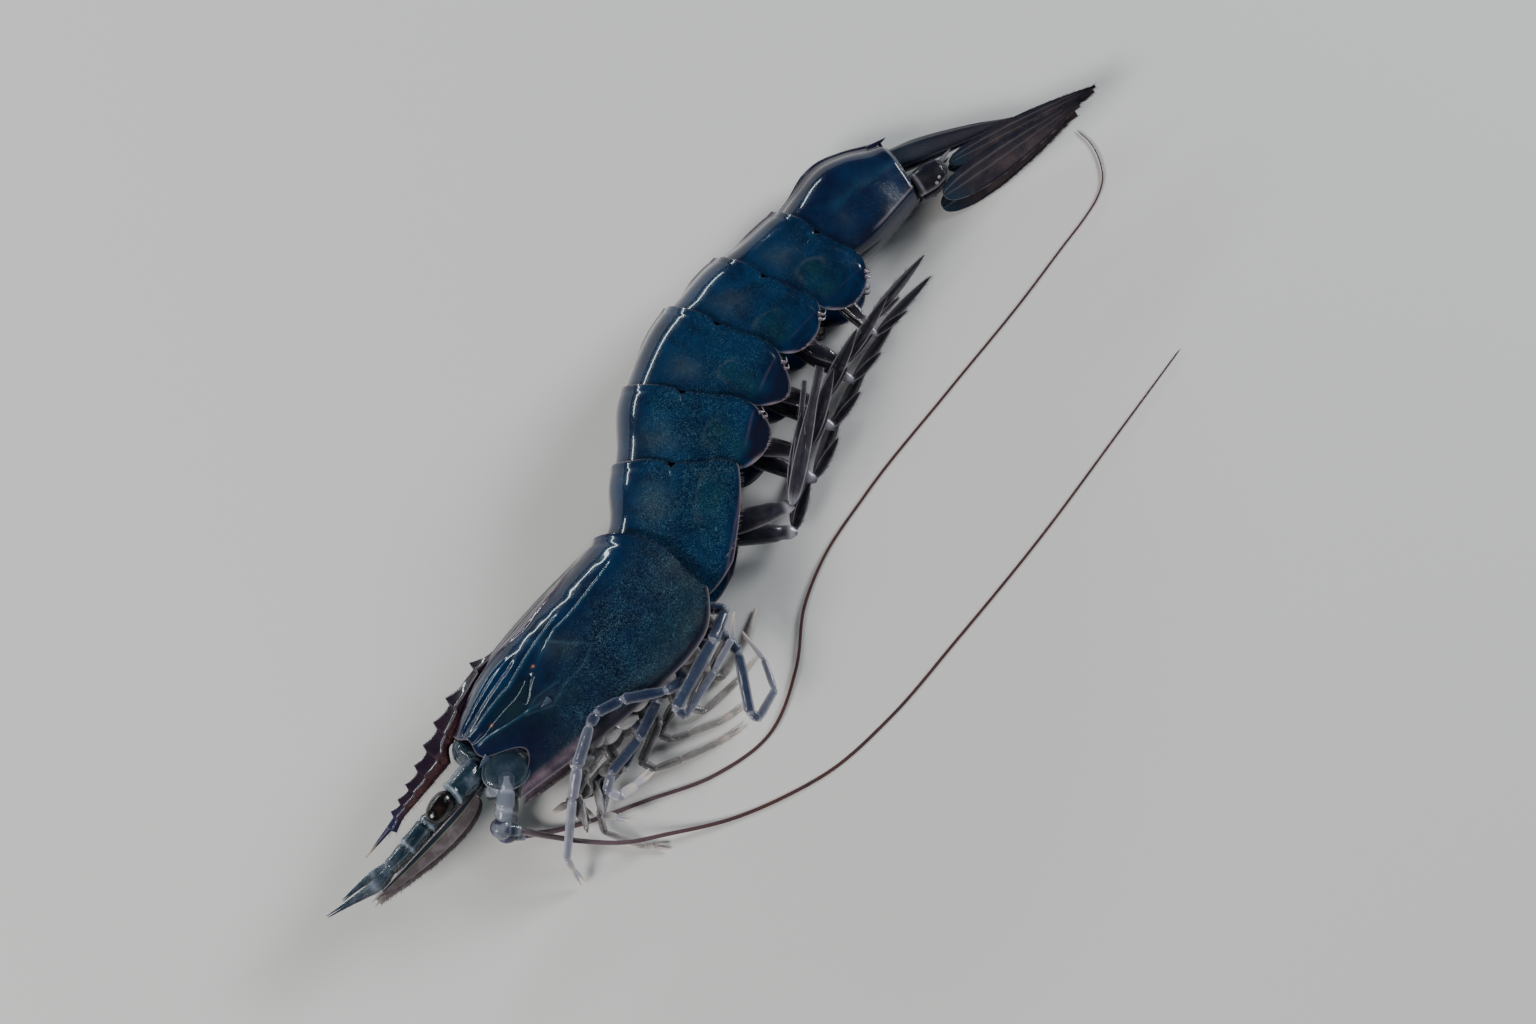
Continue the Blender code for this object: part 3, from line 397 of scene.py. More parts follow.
class Graph:
    """A material's node tree with one Principled shader, built from expressions."""

    def __init__(self, name: str, constants: dict[str, float | tuple]) -> None:
        """Make the material and set the sockets that are the same all over."""
        self.material = bpy.data.materials.new(name)
        self.material.use_nodes = True
        self.tree = self.material.node_tree
        self.shader = self.tree.nodes["Principled BSDF"]
        for socket, value in constants.items():
            self.shader.inputs[socket].default_value = value
        self.coords = self.node("ShaderNodeTexCoord").outputs["Object"]

    def node(self, kind: str, settings: dict | None = None,
             sockets: dict | None = None) -> bpy.types.Node:
        """Add a node: its settings come first, then the values or links of its sockets.

        Args:
            kind: The node's type.
            settings: Attribute values by name.
            sockets: Values, sockets or signals by the input's name or number.

        Returns:
            The new node.
        """
        made = self.tree.nodes.new(kind)
        for name, value in (settings or {}).items():
            setattr(made, name, value)
        for name, value in (sockets or {}).items():
            if isinstance(value, Signal):
                value = value.socket
            if isinstance(value, bpy.types.NodeSocket):
                self.tree.links.new(value, made.inputs[name])
            else:
                made.inputs[name].default_value = value
        return made

    def math(self, operation: str, *values: "Signal | float") -> Signal:
        """A Math node on one or two values."""
        made = self.node("ShaderNodeMath", {"operation": operation}, dict(enumerate(values)))
        return Signal(self, made.outputs[0])

    def mark(self, name: str) -> Signal:
        """One of the mesh's own marks."""
        made = self.node("ShaderNodeAttribute",
                         {"attribute_type": "GEOMETRY", "attribute_name": name})
        return Signal(self, made.outputs["Fac"])

    def noise(self, size: float, detail: float = 2.0, roughness: float = 0.5,
              distortion: float = 0.0) -> Signal:
        """Noise of about 0 to 1 whose blobs are size millimetres across."""
        made = self.node("ShaderNodeTexNoise", None, {
            "Vector": self.coords, "Scale": 1.0 / (size * MM), "Detail": detail,
            "Roughness": roughness, "Distortion": distortion})
        return Signal(self, made.outputs["Fac"])

    def cells(self, size: float) -> Signal:
        """Distance to the nearest of scattered points that lie size millimetres apart."""
        made = self.node("ShaderNodeTexVoronoi", {"feature": "F1"},
                         {"Vector": self.coords, "Scale": 1.0 / (size * MM)})
        return Signal(self, made.outputs["Distance"])

    def blend(self, first: Paint, second: Paint, share: "Signal | float") -> bpy.types.NodeSocket:
        """A colour from first to second by a share from 0 to 1."""
        first, second = ((*c, 1.0) if isinstance(c, tuple) else c for c in (first, second))
        made = self.node("ShaderNodeMix", {"data_type": "RGBA", "clamp_factor": True},
                         {0: share, 6: first, 7: second})
        return made.outputs[2]

    def finish(self, colour: Paint, height: Signal | None = None, depth: float = 0.0001,
               **sockets: Signal) -> bpy.types.Material:
        """Link the colour, the bump and the other sockets that vary.

        Args:
            colour: The base colour.
            height: Relief from 0 to 1, or none.
            depth: The relief's depth in metres.
            **sockets: Signals for roughness, coat_weight or alpha.

        Returns:
            The material.
        """
        if isinstance(colour, tuple):
            self.shader.inputs["Base Color"].default_value = (*colour, 1.0)
        else:
            self.tree.links.new(colour, self.shader.inputs["Base Color"])
        for name, signal in sockets.items():
            self.tree.links.new(signal.socket, self.shader.inputs[name.replace("_", " ").title()])
        if height is not None:
            bump = self.node("ShaderNodeBump", None,
                             {"Height": height, "Distance": depth, "Strength": 1.0})
            self.tree.links.new(bump.outputs["Normal"], self.shader.inputs["Normal"])
        return self.material


WET = {"Coat Weight": 1.0, "Coat Roughness": 0.035, "Coat IOR": 1.33, "Specular IOR Level": 0.15}


@dataclass(frozen=True)
class ShellFinish:
    """Wet navy shell: teal and olive clouds, worm-like pale speckle, a purple back, thin pale rims, and
    painted shade.
    """

    name: str = "wet_shell"
    deep: Colour = (0.0008, 0.0080, 0.030)
    cloud: Colour = (0.0010, 0.0190, 0.060)
    speck: Colour = (0.046, 0.115, 0.150)
    crest_and_shade: Colour = (0.0070, 0.0040, 0.020)
    pink: Colour = (0.085, 0.036, 0.055)
    olive: Colour = (0.009, 0.034, 0.036)
    grey: Colour = (0.042, 0.058, 0.068)
    lilac: Colour = (0.230, 0.160, 0.200)
    # Near-black colour of the painted shade on the lower margins, the hanging lobes and the plates' rear
    # margins.
    painted_shade: Colour = (0.0075, 0.0050, 0.0115)
    rim: Colour = (0.42, 0.34, 0.37)
    rib: Colour = (0.020, 0.085, 0.150)
    rust: Colour = (0.55, 0.24, 0.08)

    def make(self) -> bpy.types.Material:
        """Build the node tree."""
        g = Graph(self.name, WET)
        broad = g.noise(6.0, 4.0, 0.6, 0.8).step(0.34, 0.68)
        colour = g.blend(self.deep, self.cloud, broad)
        cloudy = g.noise(2.6, 4.0, 0.6).step(0.34, 0.64)
        colour = g.blend(colour, self.olive, (g.mark("olive") * (0.45 + cloudy * 0.55)).clip())
        colour = g.blend(colour, self.grey, (g.mark("grey") * (0.35 + cloudy * 0.65)).clip())
        # The purple along the back is the shell's own colour; the same mark also carries painted shade
        # along the shield's rear margin and at the hinge notches.
        colour = g.blend(colour, self.crest_and_shade, g.mark("crest_and_shade") * 0.9)
        # Painted shade: the surface is blended towards near-black where the mark says it lies in shade.
        colour = g.blend(colour, self.painted_shade, g.mark("painted_shade") * 0.9)
        worms = (g.noise(0.54, 1.5, 0.5, 1.6) - 0.5).size().step(0.040, 0.010)
        grains = g.cells(0.36).step(0.28, 0.10)
        patches = 0.45 + g.noise(3.4, 3.0).step(0.26, 0.66) * 0.55
        dust = (worms * 0.75 + grains * 0.35).clip() * patches
        colour = g.blend(colour, self.speck, (dust * g.mark("speck")).clip())
        colour = g.blend(colour, self.rib, g.mark("rib") * 0.7)
        colour = g.blend(colour, self.pink, (g.mark("pink") * (0.5 + cloudy * 0.5)).clip())
        colour = g.blend(colour, self.lilac, (g.mark("lilac") * (0.45 + cloudy * 0.55)).clip())
        colour = g.blend(colour, self.rim, (g.mark("rim") * 0.6).clip())
        colour = g.blend(colour, self.rust, g.mark("rust"))
        height = (g.noise(1.8, 1.5) * 0.5 + g.noise(0.35, 1.0) * 0.05
                  + g.cells(0.55).step(0.0, 0.35) * 0.08)
        rough = 0.14 + g.noise(2.5, 3.0) * 0.14 + dust * g.mark("speck") * 0.15
        clear = 1.0 - g.mark("rim") * 0.3 - g.mark("lilac") * 0.25
        return g.finish(colour, height, 0.00009, roughness=rough, alpha=clear)


@dataclass(frozen=True)
class HornFinish:
    """Dark purple-brown horn with a dotted reddish band, paler edges and an ivory point."""

    name: str = "rostrum_horn"
    deep: Colour = (0.016, 0.008, 0.018)
    brown: Colour = (0.026, 0.012, 0.020)
    violet: Colour = (0.018, 0.016, 0.055)
    band: Colour = (0.20, 0.085, 0.072)
    ivory: Colour = (0.50, 0.36, 0.26)
    edge: Colour = (0.085, 0.065, 0.090)

    def make(self) -> bpy.types.Material:
        """Build the node tree."""
        g = Graph(self.name, WET)
        colour = g.blend(self.deep, self.brown, g.noise(3.0, 4.0).step(0.35, 0.7) * 0.6)
        dots = g.cells(0.36).step(0.34, 0.16)
        colour = g.blend(colour, self.band, ((dots * 0.7 + 0.25) * g.mark("band")).clip())
        colour = g.blend(colour, self.violet, g.mark("violet"))
        colour = g.blend(colour, self.ivory, g.mark("ivory"))
        colour = g.blend(colour, self.edge, g.mark("edge") * 0.6)
        height = g.noise(0.8, 3.0) * 0.6 + dots * 0.1
        return g.finish(colour, height, 0.00006, roughness=0.18 + g.noise(1.5) * 0.2)


@dataclass(frozen=True)
class ClearFinish:
    """Clear wet cuticle: a tint that clouds over at joints and edges, with fine flecks.

    Attributes:
        tint: The cuticle's own colour.
        cloud: The colour of its milky places.
        fleck: The colour of its flecks.
        clear: Its opacity where nothing clouds it.
        flecks: How strong its flecks are.
        clouds: How milky it is in patches all over.
        tip: The colour of horny points.
        line: The colour of the scale's rib.
    """

    name: str
    tint: Colour
    cloud: Colour
    fleck: Colour
    clear: float = 0.55
    flecks: float = 0.5
    clouds: float = 0.5
    tip: Colour = (0.62, 0.54, 0.47)
    line: Colour = (0.17, 0.19, 0.10)

    def make(self) -> bpy.types.Material:
        """Build the node tree."""
        g = Graph(self.name, WET)
        milky = (g.noise(2.4, 4.0, 0.6).step(0.42, 0.72) * self.clouds + g.mark("milky")).clip()
        colour = g.blend(self.tint, self.cloud, milky)
        spots = (g.cells(0.5).step(0.32, 0.12) * g.noise(2.0).step(0.40, 0.66) * self.flecks).clip()
        colour = g.blend(colour, self.fleck, spots)
        colour = g.blend(colour, self.fleck, (g.mark("dark") * 0.9).clip())
        colour = g.blend(colour, self.tip, g.mark("tip"))
        colour = g.blend(colour, self.line, g.mark("line") * 0.8)
        opacity = (self.clear + milky * 0.45 + spots * 0.3 + g.mark("dark") * 0.4
                   + g.mark("tip") * 0.3).clip()
        height = g.noise(0.9, 4.0, 0.6) * 0.7 + g.noise(0.2) * 0.15
        return g.finish(colour, height, 0.00010, roughness=0.14 + g.noise(1.0) * 0.18, alpha=opacity)


@dataclass(frozen=True)
class CoreFinish:
    """Dark muscle and blood seen through clear cuticle, streaked lengthwise."""

    name: str
    deep: Colour = (0.004, 0.014, 0.055)
    soft: Colour = (0.018, 0.055, 0.130)

    def make(self) -> bpy.types.Material:
        """Build the node tree."""
        g = Graph(self.name, {"Specular IOR Level": 0.3})
        colour = g.blend(self.deep, self.soft, g.noise(1.2, 4.0, 0.6).step(0.35, 0.75))
        return g.finish(colour, g.noise(0.6, 3.0), 0.0001, roughness=0.4 + g.noise(1.0) * 0.2)


@dataclass(frozen=True)
class BladeFinish:
    """Dark wet tail blade: fine lengthwise ribs, a teal root and brown lower parts."""

    name: str = "tail_blade"
    deep: Colour = (0.0065, 0.0075, 0.016)
    brown: Colour = (0.052, 0.036, 0.038)
    teal: Colour = (0.010, 0.030, 0.050)
    ridge: Colour = (0.13, 0.115, 0.125)
    speck: Colour = (0.09, 0.10, 0.13)

    def make(self) -> bpy.types.Material:
        """Build the node tree."""
        g = Graph(self.name, WET)
        stains = g.mark("brown") * g.noise(3.0, 4.0).step(0.2, 0.7)
        colour = g.blend(self.deep, self.brown, stains.clip())
        colour = g.blend(colour, self.teal, g.mark("teal") * 0.8)
        colour = g.blend(colour, self.ridge, (g.mark("rib") * 0.4 + g.mark("rim") * 0.3).clip())
        colour = g.blend(colour, self.deep, g.mark("dark") * 0.85)
        specks = g.cells(0.4).step(0.30, 0.12) * g.noise(2.0).step(0.45, 0.65)
        colour = g.blend(colour, self.speck, specks * 0.4)
        height = g.noise(1.0, 4.0) * 0.7 + g.mark("rib") * 0.3
        return g.finish(colour, height, 0.00012, roughness=0.20 + g.noise(1.2) * 0.22)


@dataclass(frozen=True)
class CorneaFinish:
    """Black-brown wet cornea of countless small facets."""

    name: str = "cornea"
    black: Colour = (0.0035, 0.0025, 0.003)
    brown: Colour = (0.020, 0.011, 0.009)

    def make(self) -> bpy.types.Material:
        """Build the node tree."""
        g = Graph(self.name, {**WET, "Coat Roughness": 0.02})
        colour = g.blend(self.black, self.brown, g.noise(1.4, 3.0).step(0.4, 0.75))
        return g.finish(colour, g.cells(0.11), 0.00002, roughness=0.08 + g.noise(0.8) * 0.08)


@dataclass(frozen=True)
class WhipFinish:
    """Long feeler in rings: grey-lilac at the root, then dark red-brown, with darker bands."""

    name: str = "whip"
    grey: Colour = (0.10, 0.075, 0.095)
    red: Colour = (0.050, 0.014, 0.014)
    dark: Colour = (0.016, 0.008, 0.016)
    ring: Colour = (0.20, 0.13, 0.13)

    def make(self) -> bpy.types.Material:
        """Build the node tree."""
        g = Graph(self.name, WET)
        colour = g.blend(self.grey, self.red, g.mark("run").step(0.02, 0.30))
        colour = g.blend(colour, self.dark, g.noise(6.0, 3.0).step(0.45, 0.7) * 0.7)
        colour = g.blend(colour, self.ring, g.mark("ring") * 0.35)
        return g.finish(colour, g.noise(0.4), 0.00004, roughness=0.22 + g.noise(0.7) * 0.15)


@dataclass(frozen=True)
class FleshFinish:
    """Grey translucent flesh with milky folds and dark blue stains."""

    name: str = "under_flesh"
    grey: Colour = (0.042, 0.050, 0.062)
    milk: Colour = (0.15, 0.145, 0.16)
    stain: Colour = (0.010, 0.020, 0.055)

    def make(self) -> bpy.types.Material:
        """Build the node tree."""
        g = Graph(self.name, {**WET, "Subsurface Weight": 0.25, "Subsurface Scale": 0.002})
        colour = g.blend(self.grey, self.milk, (g.noise(2.6, 4.0).step(0.45, 0.75) * 0.6).clip())
        colour = g.blend(colour, self.stain, (g.noise(3.6, 3.0).step(0.45, 0.62) * 0.85).clip())
        height = g.noise(1.3, 4.0, 0.6) * 0.8 + g.noise(0.3) * 0.1
        return g.finish(colour, height, 0.0002, roughness=0.22 + g.noise(1.5) * 0.2)


@dataclass(frozen=True)
class BristleFinish:
    """Fine bristles: one colour that pales here and there."""

    name: str
    dark: Colour
    light: Colour

    def make(self) -> bpy.types.Material:
        """Build the node tree."""
        g = Graph(self.name, {"Specular IOR Level": 0.4})
        return g.finish(g.blend(self.dark, self.light, g.noise(1.5).step(0.4, 0.65)),
                        roughness=0.35 + g.noise(1.0) * 0.1)


class Finishes:
    """All the model's materials, each built once."""

    def __init__(self) -> None:
        """Build them; a clear finish is given its tint, cloud and fleck colours, then its shares."""
        self.shell = ShellFinish().make()
        self.horn = HornFinish().make()
        self.blade = BladeFinish().make()
        self.cornea = CorneaFinish().make()
        self.whip = WhipFinish().make()
        self.flesh = FleshFinish().make()
        self.core = CoreFinish("blue_core").make()
        self.stalk = ClearFinish("stalk_cuticle", (0.013, 0.032, 0.045), (0.18, 0.21, 0.26),
                                 (0.006, 0.012, 0.035), 0.62).make()
        self.base = ClearFinish("feeler_root_cuticle", (0.018, 0.042, 0.060), (0.30, 0.32, 0.39),
                                (0.020, 0.012, 0.055), 0.48, 0.2, 0.15).make()
        self.dim = CoreFinish("dim_core", (0.008, 0.022, 0.038), (0.030, 0.055, 0.080)).make()
        self.mouth = ClearFinish("mouth_cuticle", (0.105, 0.108, 0.115), (0.30, 0.29, 0.30),
                                 (0.050, 0.022, 0.010), 0.62, 0.7).make()
        self.scale = ClearFinish("scale_cuticle", (0.082, 0.066, 0.072), (0.22, 0.19, 0.205),
                                 (0.006, 0.014, 0.024), 0.90, 0.3).make()
        self.leg = ClearFinish("leg_cuticle", (0.080, 0.100, 0.155), (0.48, 0.47, 0.55),
                               (0.0015, 0.008, 0.036), 0.34, 0.3, 0.12).make()
        self.far = ClearFinish("far_leg_cuticle", (0.150, 0.140, 0.145), (0.44, 0.40, 0.39),
                               (0.030, 0.034, 0.060), 0.40, 0.3, 0.3).make()
        self.fin = ClearFinish("fin_cuticle", (0.020, 0.017, 0.022), (0.30, 0.28, 0.33),
                               (0.006, 0.006, 0.013), 0.62, 0.3, 0.12).make()
        self.hair = BristleFinish("dark_bristle", (0.030, 0.018, 0.018), (0.12, 0.085, 0.080)).make()
        self.fine = BristleFinish("pale_bristle", (0.22, 0.18, 0.18), (0.50, 0.42, 0.40)).make()


@dataclass(frozen=True)
class BodyForm:
    """The body's outside as a function of the way along the back and of the turn round it.

    Each station is x, y, lean in degrees, depth, half width, midplane height, curl and keel.
    """

    stations: tuple = (
        (58.0, -10.8, -4.0, 13.6, 5.4, 8.6, 0.30, 0.0), (52.0, -13.4, -2.0, 17.4, 7.0, 8.5, 0.38, 0.0),
        (45.0, -15.2, 0.0, 20.5, 8.0, 8.4, 0.42, 0.0), (34.0, -15.9, 3.0, 22.7, 8.6, 8.4, 0.42, 0.0),
        (26.0, -15.9, 10.0, 23.0, 8.6, 8.4, 0.36, 0.0), (21.1, -16.3, 17.0, 21.5, 8.5, 8.3, 0.28, 0.0),
        (16.0, -18.7, 29.0, 20.0, 8.4, 8.2, 0.16, 0.0), (11.5, -21.9, 38.0, 19.9, 8.4, 8.2, 0.12, 0.0),
        (1.6, -29.2, 32.0, 20.6, 8.4, 8.2, 0.12, 0.0), (-12.4, -33.1, 17.0, 19.0, 8.0, 7.8, 0.12, 0.2),
        (-23.7, -32.9, 13.0, 17.9, 7.3, 7.1, 0.14, 0.5), (-35.4, -31.5, 9.0, 16.3, 6.3, 6.1, 0.18, 0.6),
        (-45.7, -31.9, -2.0, 17.0, 5.4, 5.5, 0.24, 0.7), (-55.7, -27.0, -14.0, 10.4, 4.0, 4.3, 0.30, 0.7))
    shield_rear: int = 5
    segment_ends: tuple = (7, 8, 9, 10, 11, 13)
    dome: float = 0.45
    power: float = 0.9

    @property
    def table(self) -> Array:
        """The stations as an array."""
        return np.array(self.stations)

    @property
    def reach(self) -> Array:
        """Distance of each station along the back line."""
        steps = np.hypot(*np.diff(self.table[:, :2], axis=0).T)
        return np.concatenate(([0.0], np.cumsum(steps)))

    def read(self, along: Array, column: int) -> Array:
        """A column of the stations at distances along the back."""
        return smooth_curve(self.reach, self.table[:, column], along)

    def span(self, index: int) -> tuple[float, float]:
        """Where a tail segment begins and ends along the back."""
        begin = self.shield_rear if index == 0 else self.segment_ends[index - 1]
        return float(self.reach[begin]), float(self.reach[self.segment_ends[index]])

    def back(self, along: Array) -> tuple[Array, Array, Array, Array]:
        """The back line's x and y, and the direction from the back down to the belly."""
        lean = np.radians(self.read(along, 2))
        return self.read(along, 0), self.read(along, 1), -np.sin(lean), np.cos(lean)

    def flank(self, along: Array, v: Array) -> tuple[Array, Array]:
        """Sideways distance and depth at v: a half dome down to 0.5, then a side that curls in.

        In the dome out is the half width times sin(pi v) to a power and down is a cosine; below
        it the side falls evenly and draws in with the square of the way down.
        """
        depth, width = self.read(along, 3), self.read(along, 4)
        angle = np.pi * np.minimum(v, 0.5)
        side = np.maximum(v - 0.5, 0.0) / 0.5
        out = width * np.where(v < 0.5, np.sin(angle) ** self.power,
                               1.0 - self.read(along, 6) * side**2)
        down = depth * np.where(v < 0.5, self.dome * (1 - np.cos(angle)),
                                self.dome + (1 - self.dome) * side)
        return out, down - self.read(along, 7) * np.maximum(1.0 - v / 0.07, 0.0)

    def surface(self, along: Array, v: Array, inset: Array = 0.0) -> Array:
        """Points at (along, v), v below 0 on the right, moved in by inset along the normal.

        Args:
            along: Distances along the back.
            v: Turn round the body, 0 on the back and 1 at the lower edge.
            inset: Millimetres towards the inside, negative outwards.

        Returns:
            Places with x, y, z last, none below the floor.
        """
        along, v, inset = np.broadcast_arrays(np.asarray(along, float), v, inset)
        a, step = np.abs(v), 1e-3
        out, down = self.flank(along, a)
        out_before, down_before = self.flank(along, np.maximum(a - step, 0.0))
        out_after, down_after = self.flank(along, a + step)
        d_out, d_down = out_after - out_before, down_after - down_before
        length = np.hypot(d_out, d_down)
        crown = a < 1e-6
        out = out - inset * np.where(crown, 0.0, d_down / length)
        down = down - inset * np.where(crown, -1.0, -d_out / length)
        x, y, dx, dy = self.back(along)
        z = self.read(along, 5) + np.sign(v) * out
        return np.stack([x + down * dx, y + down * dy, np.maximum(z, np.maximum(inset, 0.0))], axis=-1)

    def section(self, along: Array, inset: Array, low: float, bulge: float, arch: int,
                belly: int) -> Array:
        """Closed rings of the body: an arch from low to low over the back and a bulging belly.

        Args:
            along: One distance a ring.
            inset: One inset a ring.
            low: How far down the arch goes.
            bulge: How far the belly hangs below the line between its ends.
            arch: Points on the arch.
            belly: Points on the belly.

        Returns:
            Rings by points by x, y, z.
        """
        v = low * np.linspace(-1, 1, arch)[None, :]
        over = self.surface(np.asarray(along)[:, None], v, np.asarray(inset)[:, None])
        left, right = over[:, -1:], over[:, :1]
        dx, dy = self.back(np.asarray(along))[2:]
        down = np.stack([dx, dy, np.zeros_like(dx)], axis=-1)[:, None]
        t = np.linspace(0, 1, belly + 2)[1:-1][None, :, None]
        under = left + (right - left) * t + down * bulge * np.sin(np.pi * t) ** 0.7
        return np.concatenate([over, under], axis=1)


BODY = BodyForm()


def sweep(path: Array, columns: int, flatten: float = 1.0) -> Array:
    """Rings carried along a path without twisting.

    Each ring lies square to the path; its first direction is the last ring's, freed of the part
    along the path.

    Args:
        path: Rows of x, y, z, radius.
        columns: Points a ring.
        flatten: The ring's second radius as a share of its first.

    Returns:
        Rings by points by x, y, z.
    """
    centres, radii = path[:, :3], path[:, 3]
    tangents = unit(np.gradient(centres, axis=0))
    side = np.cross(tangents[0], (0.0, 0.0, 1.0))
    if np.linalg.norm(side) < 0.2:
        side = np.cross(tangents[0], (0.0, 1.0, 0.0))
    sides = np.empty_like(centres)
    for row, tangent in enumerate(tangents):
        side = side - tangent * (side @ tangent)
        side = side / np.linalg.norm(side)
        sides[row] = side
    overs = np.cross(tangents, sides)
    angles = turns(columns)[None, :, None]
    ring = np.cos(angles) * sides[:, None] + flatten * np.sin(angles) * overs[:, None]
    return centres[:, None] + ring * radii[:, None, None]


def spread_path(joints: Array, rows: int) -> Array:
    """Points evenly spaced along a smooth curve through joints of x, y, z, radius."""
    joints = np.asarray(joints, float)
    steps = np.linalg.norm(np.diff(joints[:, :3], axis=0), axis=1)
    run = np.concatenate(([0.0], np.cumsum(steps)))
    at = np.linspace(0, run[-1], rows)
    return np.stack([smooth_curve(run, joints[:, k], at) for k in range(4)], axis=-1)


def rod(joints: Array, rows: int, columns: int, flatten: float = 1.0) -> Array:
    """Rings of a smooth tube through joints of x, y, z, radius."""
    return sweep(spread_path(joints, rows), columns, flatten)


def thorn(root: Array, tip: Array, bend: float, radii: tuple, count: int) -> Array:
    """Rings of a straight spine with three radii: at its root, at a share of its way and its tip."""
    places = (root, root * (1 - bend) + tip * bend, tip)
    return rod([(*place, radius) for place, radius in zip(places, radii)], count, count)


def joint_length(start: Array, end: Array, rows: int, collar: float) -> Array:
    """Path of one limb length: narrow after its root, swelling to a collar at its end.

    The radius runs evenly from the start's to the end's, times a waist of 0.84 at the root that
    rises to 1, plus the collar's bell at 0.93; both ends close over like half balls.

    Args:
        start: x, y, z, radius.
        end: x, y, z, radius.
        rows: Points on the path.
        collar: Height of the collar as a share of the radius.

    Returns:
        Rows of x, y, z, radius.
    """
    t = 0.5 - 0.5 * np.cos(np.linspace(0, np.pi, rows))
    path = start + (end - start) * t[:, None]
    length = np.linalg.norm(end[:3] - start[:3])
    shape = (0.84 + 0.16 * ramp(0.0, 0.35, t)) * (1 + collar * bell(t, 0.93, 0.06))
    near = np.clip(t * length / np.maximum(start[3], 0.05), 0, 1)
    far = np.clip((1 - t) * length / np.maximum(end[3], 0.05) + 0.25, 0, 1)
    close = np.sqrt((1 - (1 - near) ** 2) * (1 - (1 - far) ** 2))
    path[:, 3] *= shape * np.maximum(close, 0.02)
    return path


@dataclass(frozen=True)
class Leaf:
    """A thin blade's middle surface, from its root to its tip.

    Its half width is half the width times sin(pi t^fullness)^0.7, kept open at both ends by shares
    of it; with stiff at 1 the edge away from across runs straight.
    """

    root: Array
    tip: Array
    across: Array
    width: float
    fullness: float = 0.8
    ends: tuple = (0.45, 0.06)
    stiff: float = 0.0

    @property
    def axes(self) -> tuple[Array, Array, Array]:
        """Unit vectors along the blade, across it, and out of its upper face."""
        run = unit(self.tip - self.root)
        across = unit(self.across - run * (self.across @ run))
        normal = np.cross(run, across)
        return run, across, normal * np.sign(normal[2])

    def half(self, t: Array) -> Array:
        """Half width at t, 0 at the root and 1 at the tip."""
        share = np.sin(np.pi * np.clip(t, 0.0, 1.0) ** self.fullness)
        rounded = self.ends[0] * np.sqrt(np.clip(t / 0.05, 0.05, 1.0))
        ends = np.where(t < 0.5, rounded, self.ends[1])
        return 0.5 * self.width * np.maximum(np.maximum(share, 0.0) ** 0.7, ends)

    def place(self, t: Array, s: Array) -> Array:
        """Points at t along the blade and s across it, from -1 to 1."""
        half = self.half(t)
        off = half * s - self.stiff * (0.5 * self.width - half)
        t = np.broadcast_to(t, off.shape)
        return self.root + (self.tip - self.root) * t[..., None] + self.axes[1] * off[..., None]

    def fringe(self, seed: int, count: int, away: float, length: tuple,
               lean: tuple) -> tuple[Array, Array, Array]:
        """Roots, directions and lengths of bristles along the edges.

        Args:
            seed: Seed of their scatter.
            count: How many.
            away: The share of them on the edge away from across.
            length: Shortest and longest.
            lean: Least and most slant away from the blade's run.

        Returns:
            Roots, directions and lengths.
        """
        rng = np.random.default_rng(seed)
        pick = rng.uniform(0.10, 0.99, count)
        edge = rng.choice((-1.0, 1.0), count, p=(away, 1 - away))
        run, across, _ = self.axes
        slant = (edge * rng.uniform(*lean, count))[:, None]
        ways = run + across * slant + rng.normal(0, 0.05, (count, 3))
        return self.place(pick, edge * 0.96), ways, rng.uniform(*length, count)


def seated(rings: Array, share: float = 0.25) -> Array:
    """Slide a limb's first rings along it until they begin on the last body segment's rear face.

    A point of the first ring moves by its distance to the face; the shift dies away evenly over
    the given share of the rings.
    """
    x, y, dx, dy = (float(a) for a in BODY.back(BODY.reach[-1] + 0.05))
    face, rearward = np.array([x, y, TAIL_MIDPLANE]), np.array([-dy, dx, 0.0])
    run = unit(rings[-1].mean(axis=0) - rings[0].mean(axis=0))
    shift = (face - rings[0]) @ rearward / (run @ rearward)
    weight = np.maximum(0.0, 1.0 - np.linspace(0, 1, len(rings)) / share)
    return rings + run * (weight[:, None] * shift)[..., None]


@dataclass(frozen=True)
class Relief:
    """A ridge or groove that follows a path of (along, v) on the shell.

    Attributes:
        path: Points (along, v).
        height: Millimetres outwards, negative for a groove.
        width: Half width in millimetres.
        fade: Share of the path over which each end dies away.
    """

    path: tuple
    height: float
    width: float
    fade: float = 0.2

    def read(self, along: Array, a: Array) -> Array:
        """Share from 0 to 1: a bell of the distance to the path, dying away at its ends."""
        scaled = tuple((x, y * GIRTH) for x, y in self.path)
        away, place = line_distance(along, a * GIRTH, scaled)
        ends = ramp(0, self.fade, place + 0.02) * ramp(0, self.fade, 1.02 - place)
        return bell(away, 0.0, self.width) * ends


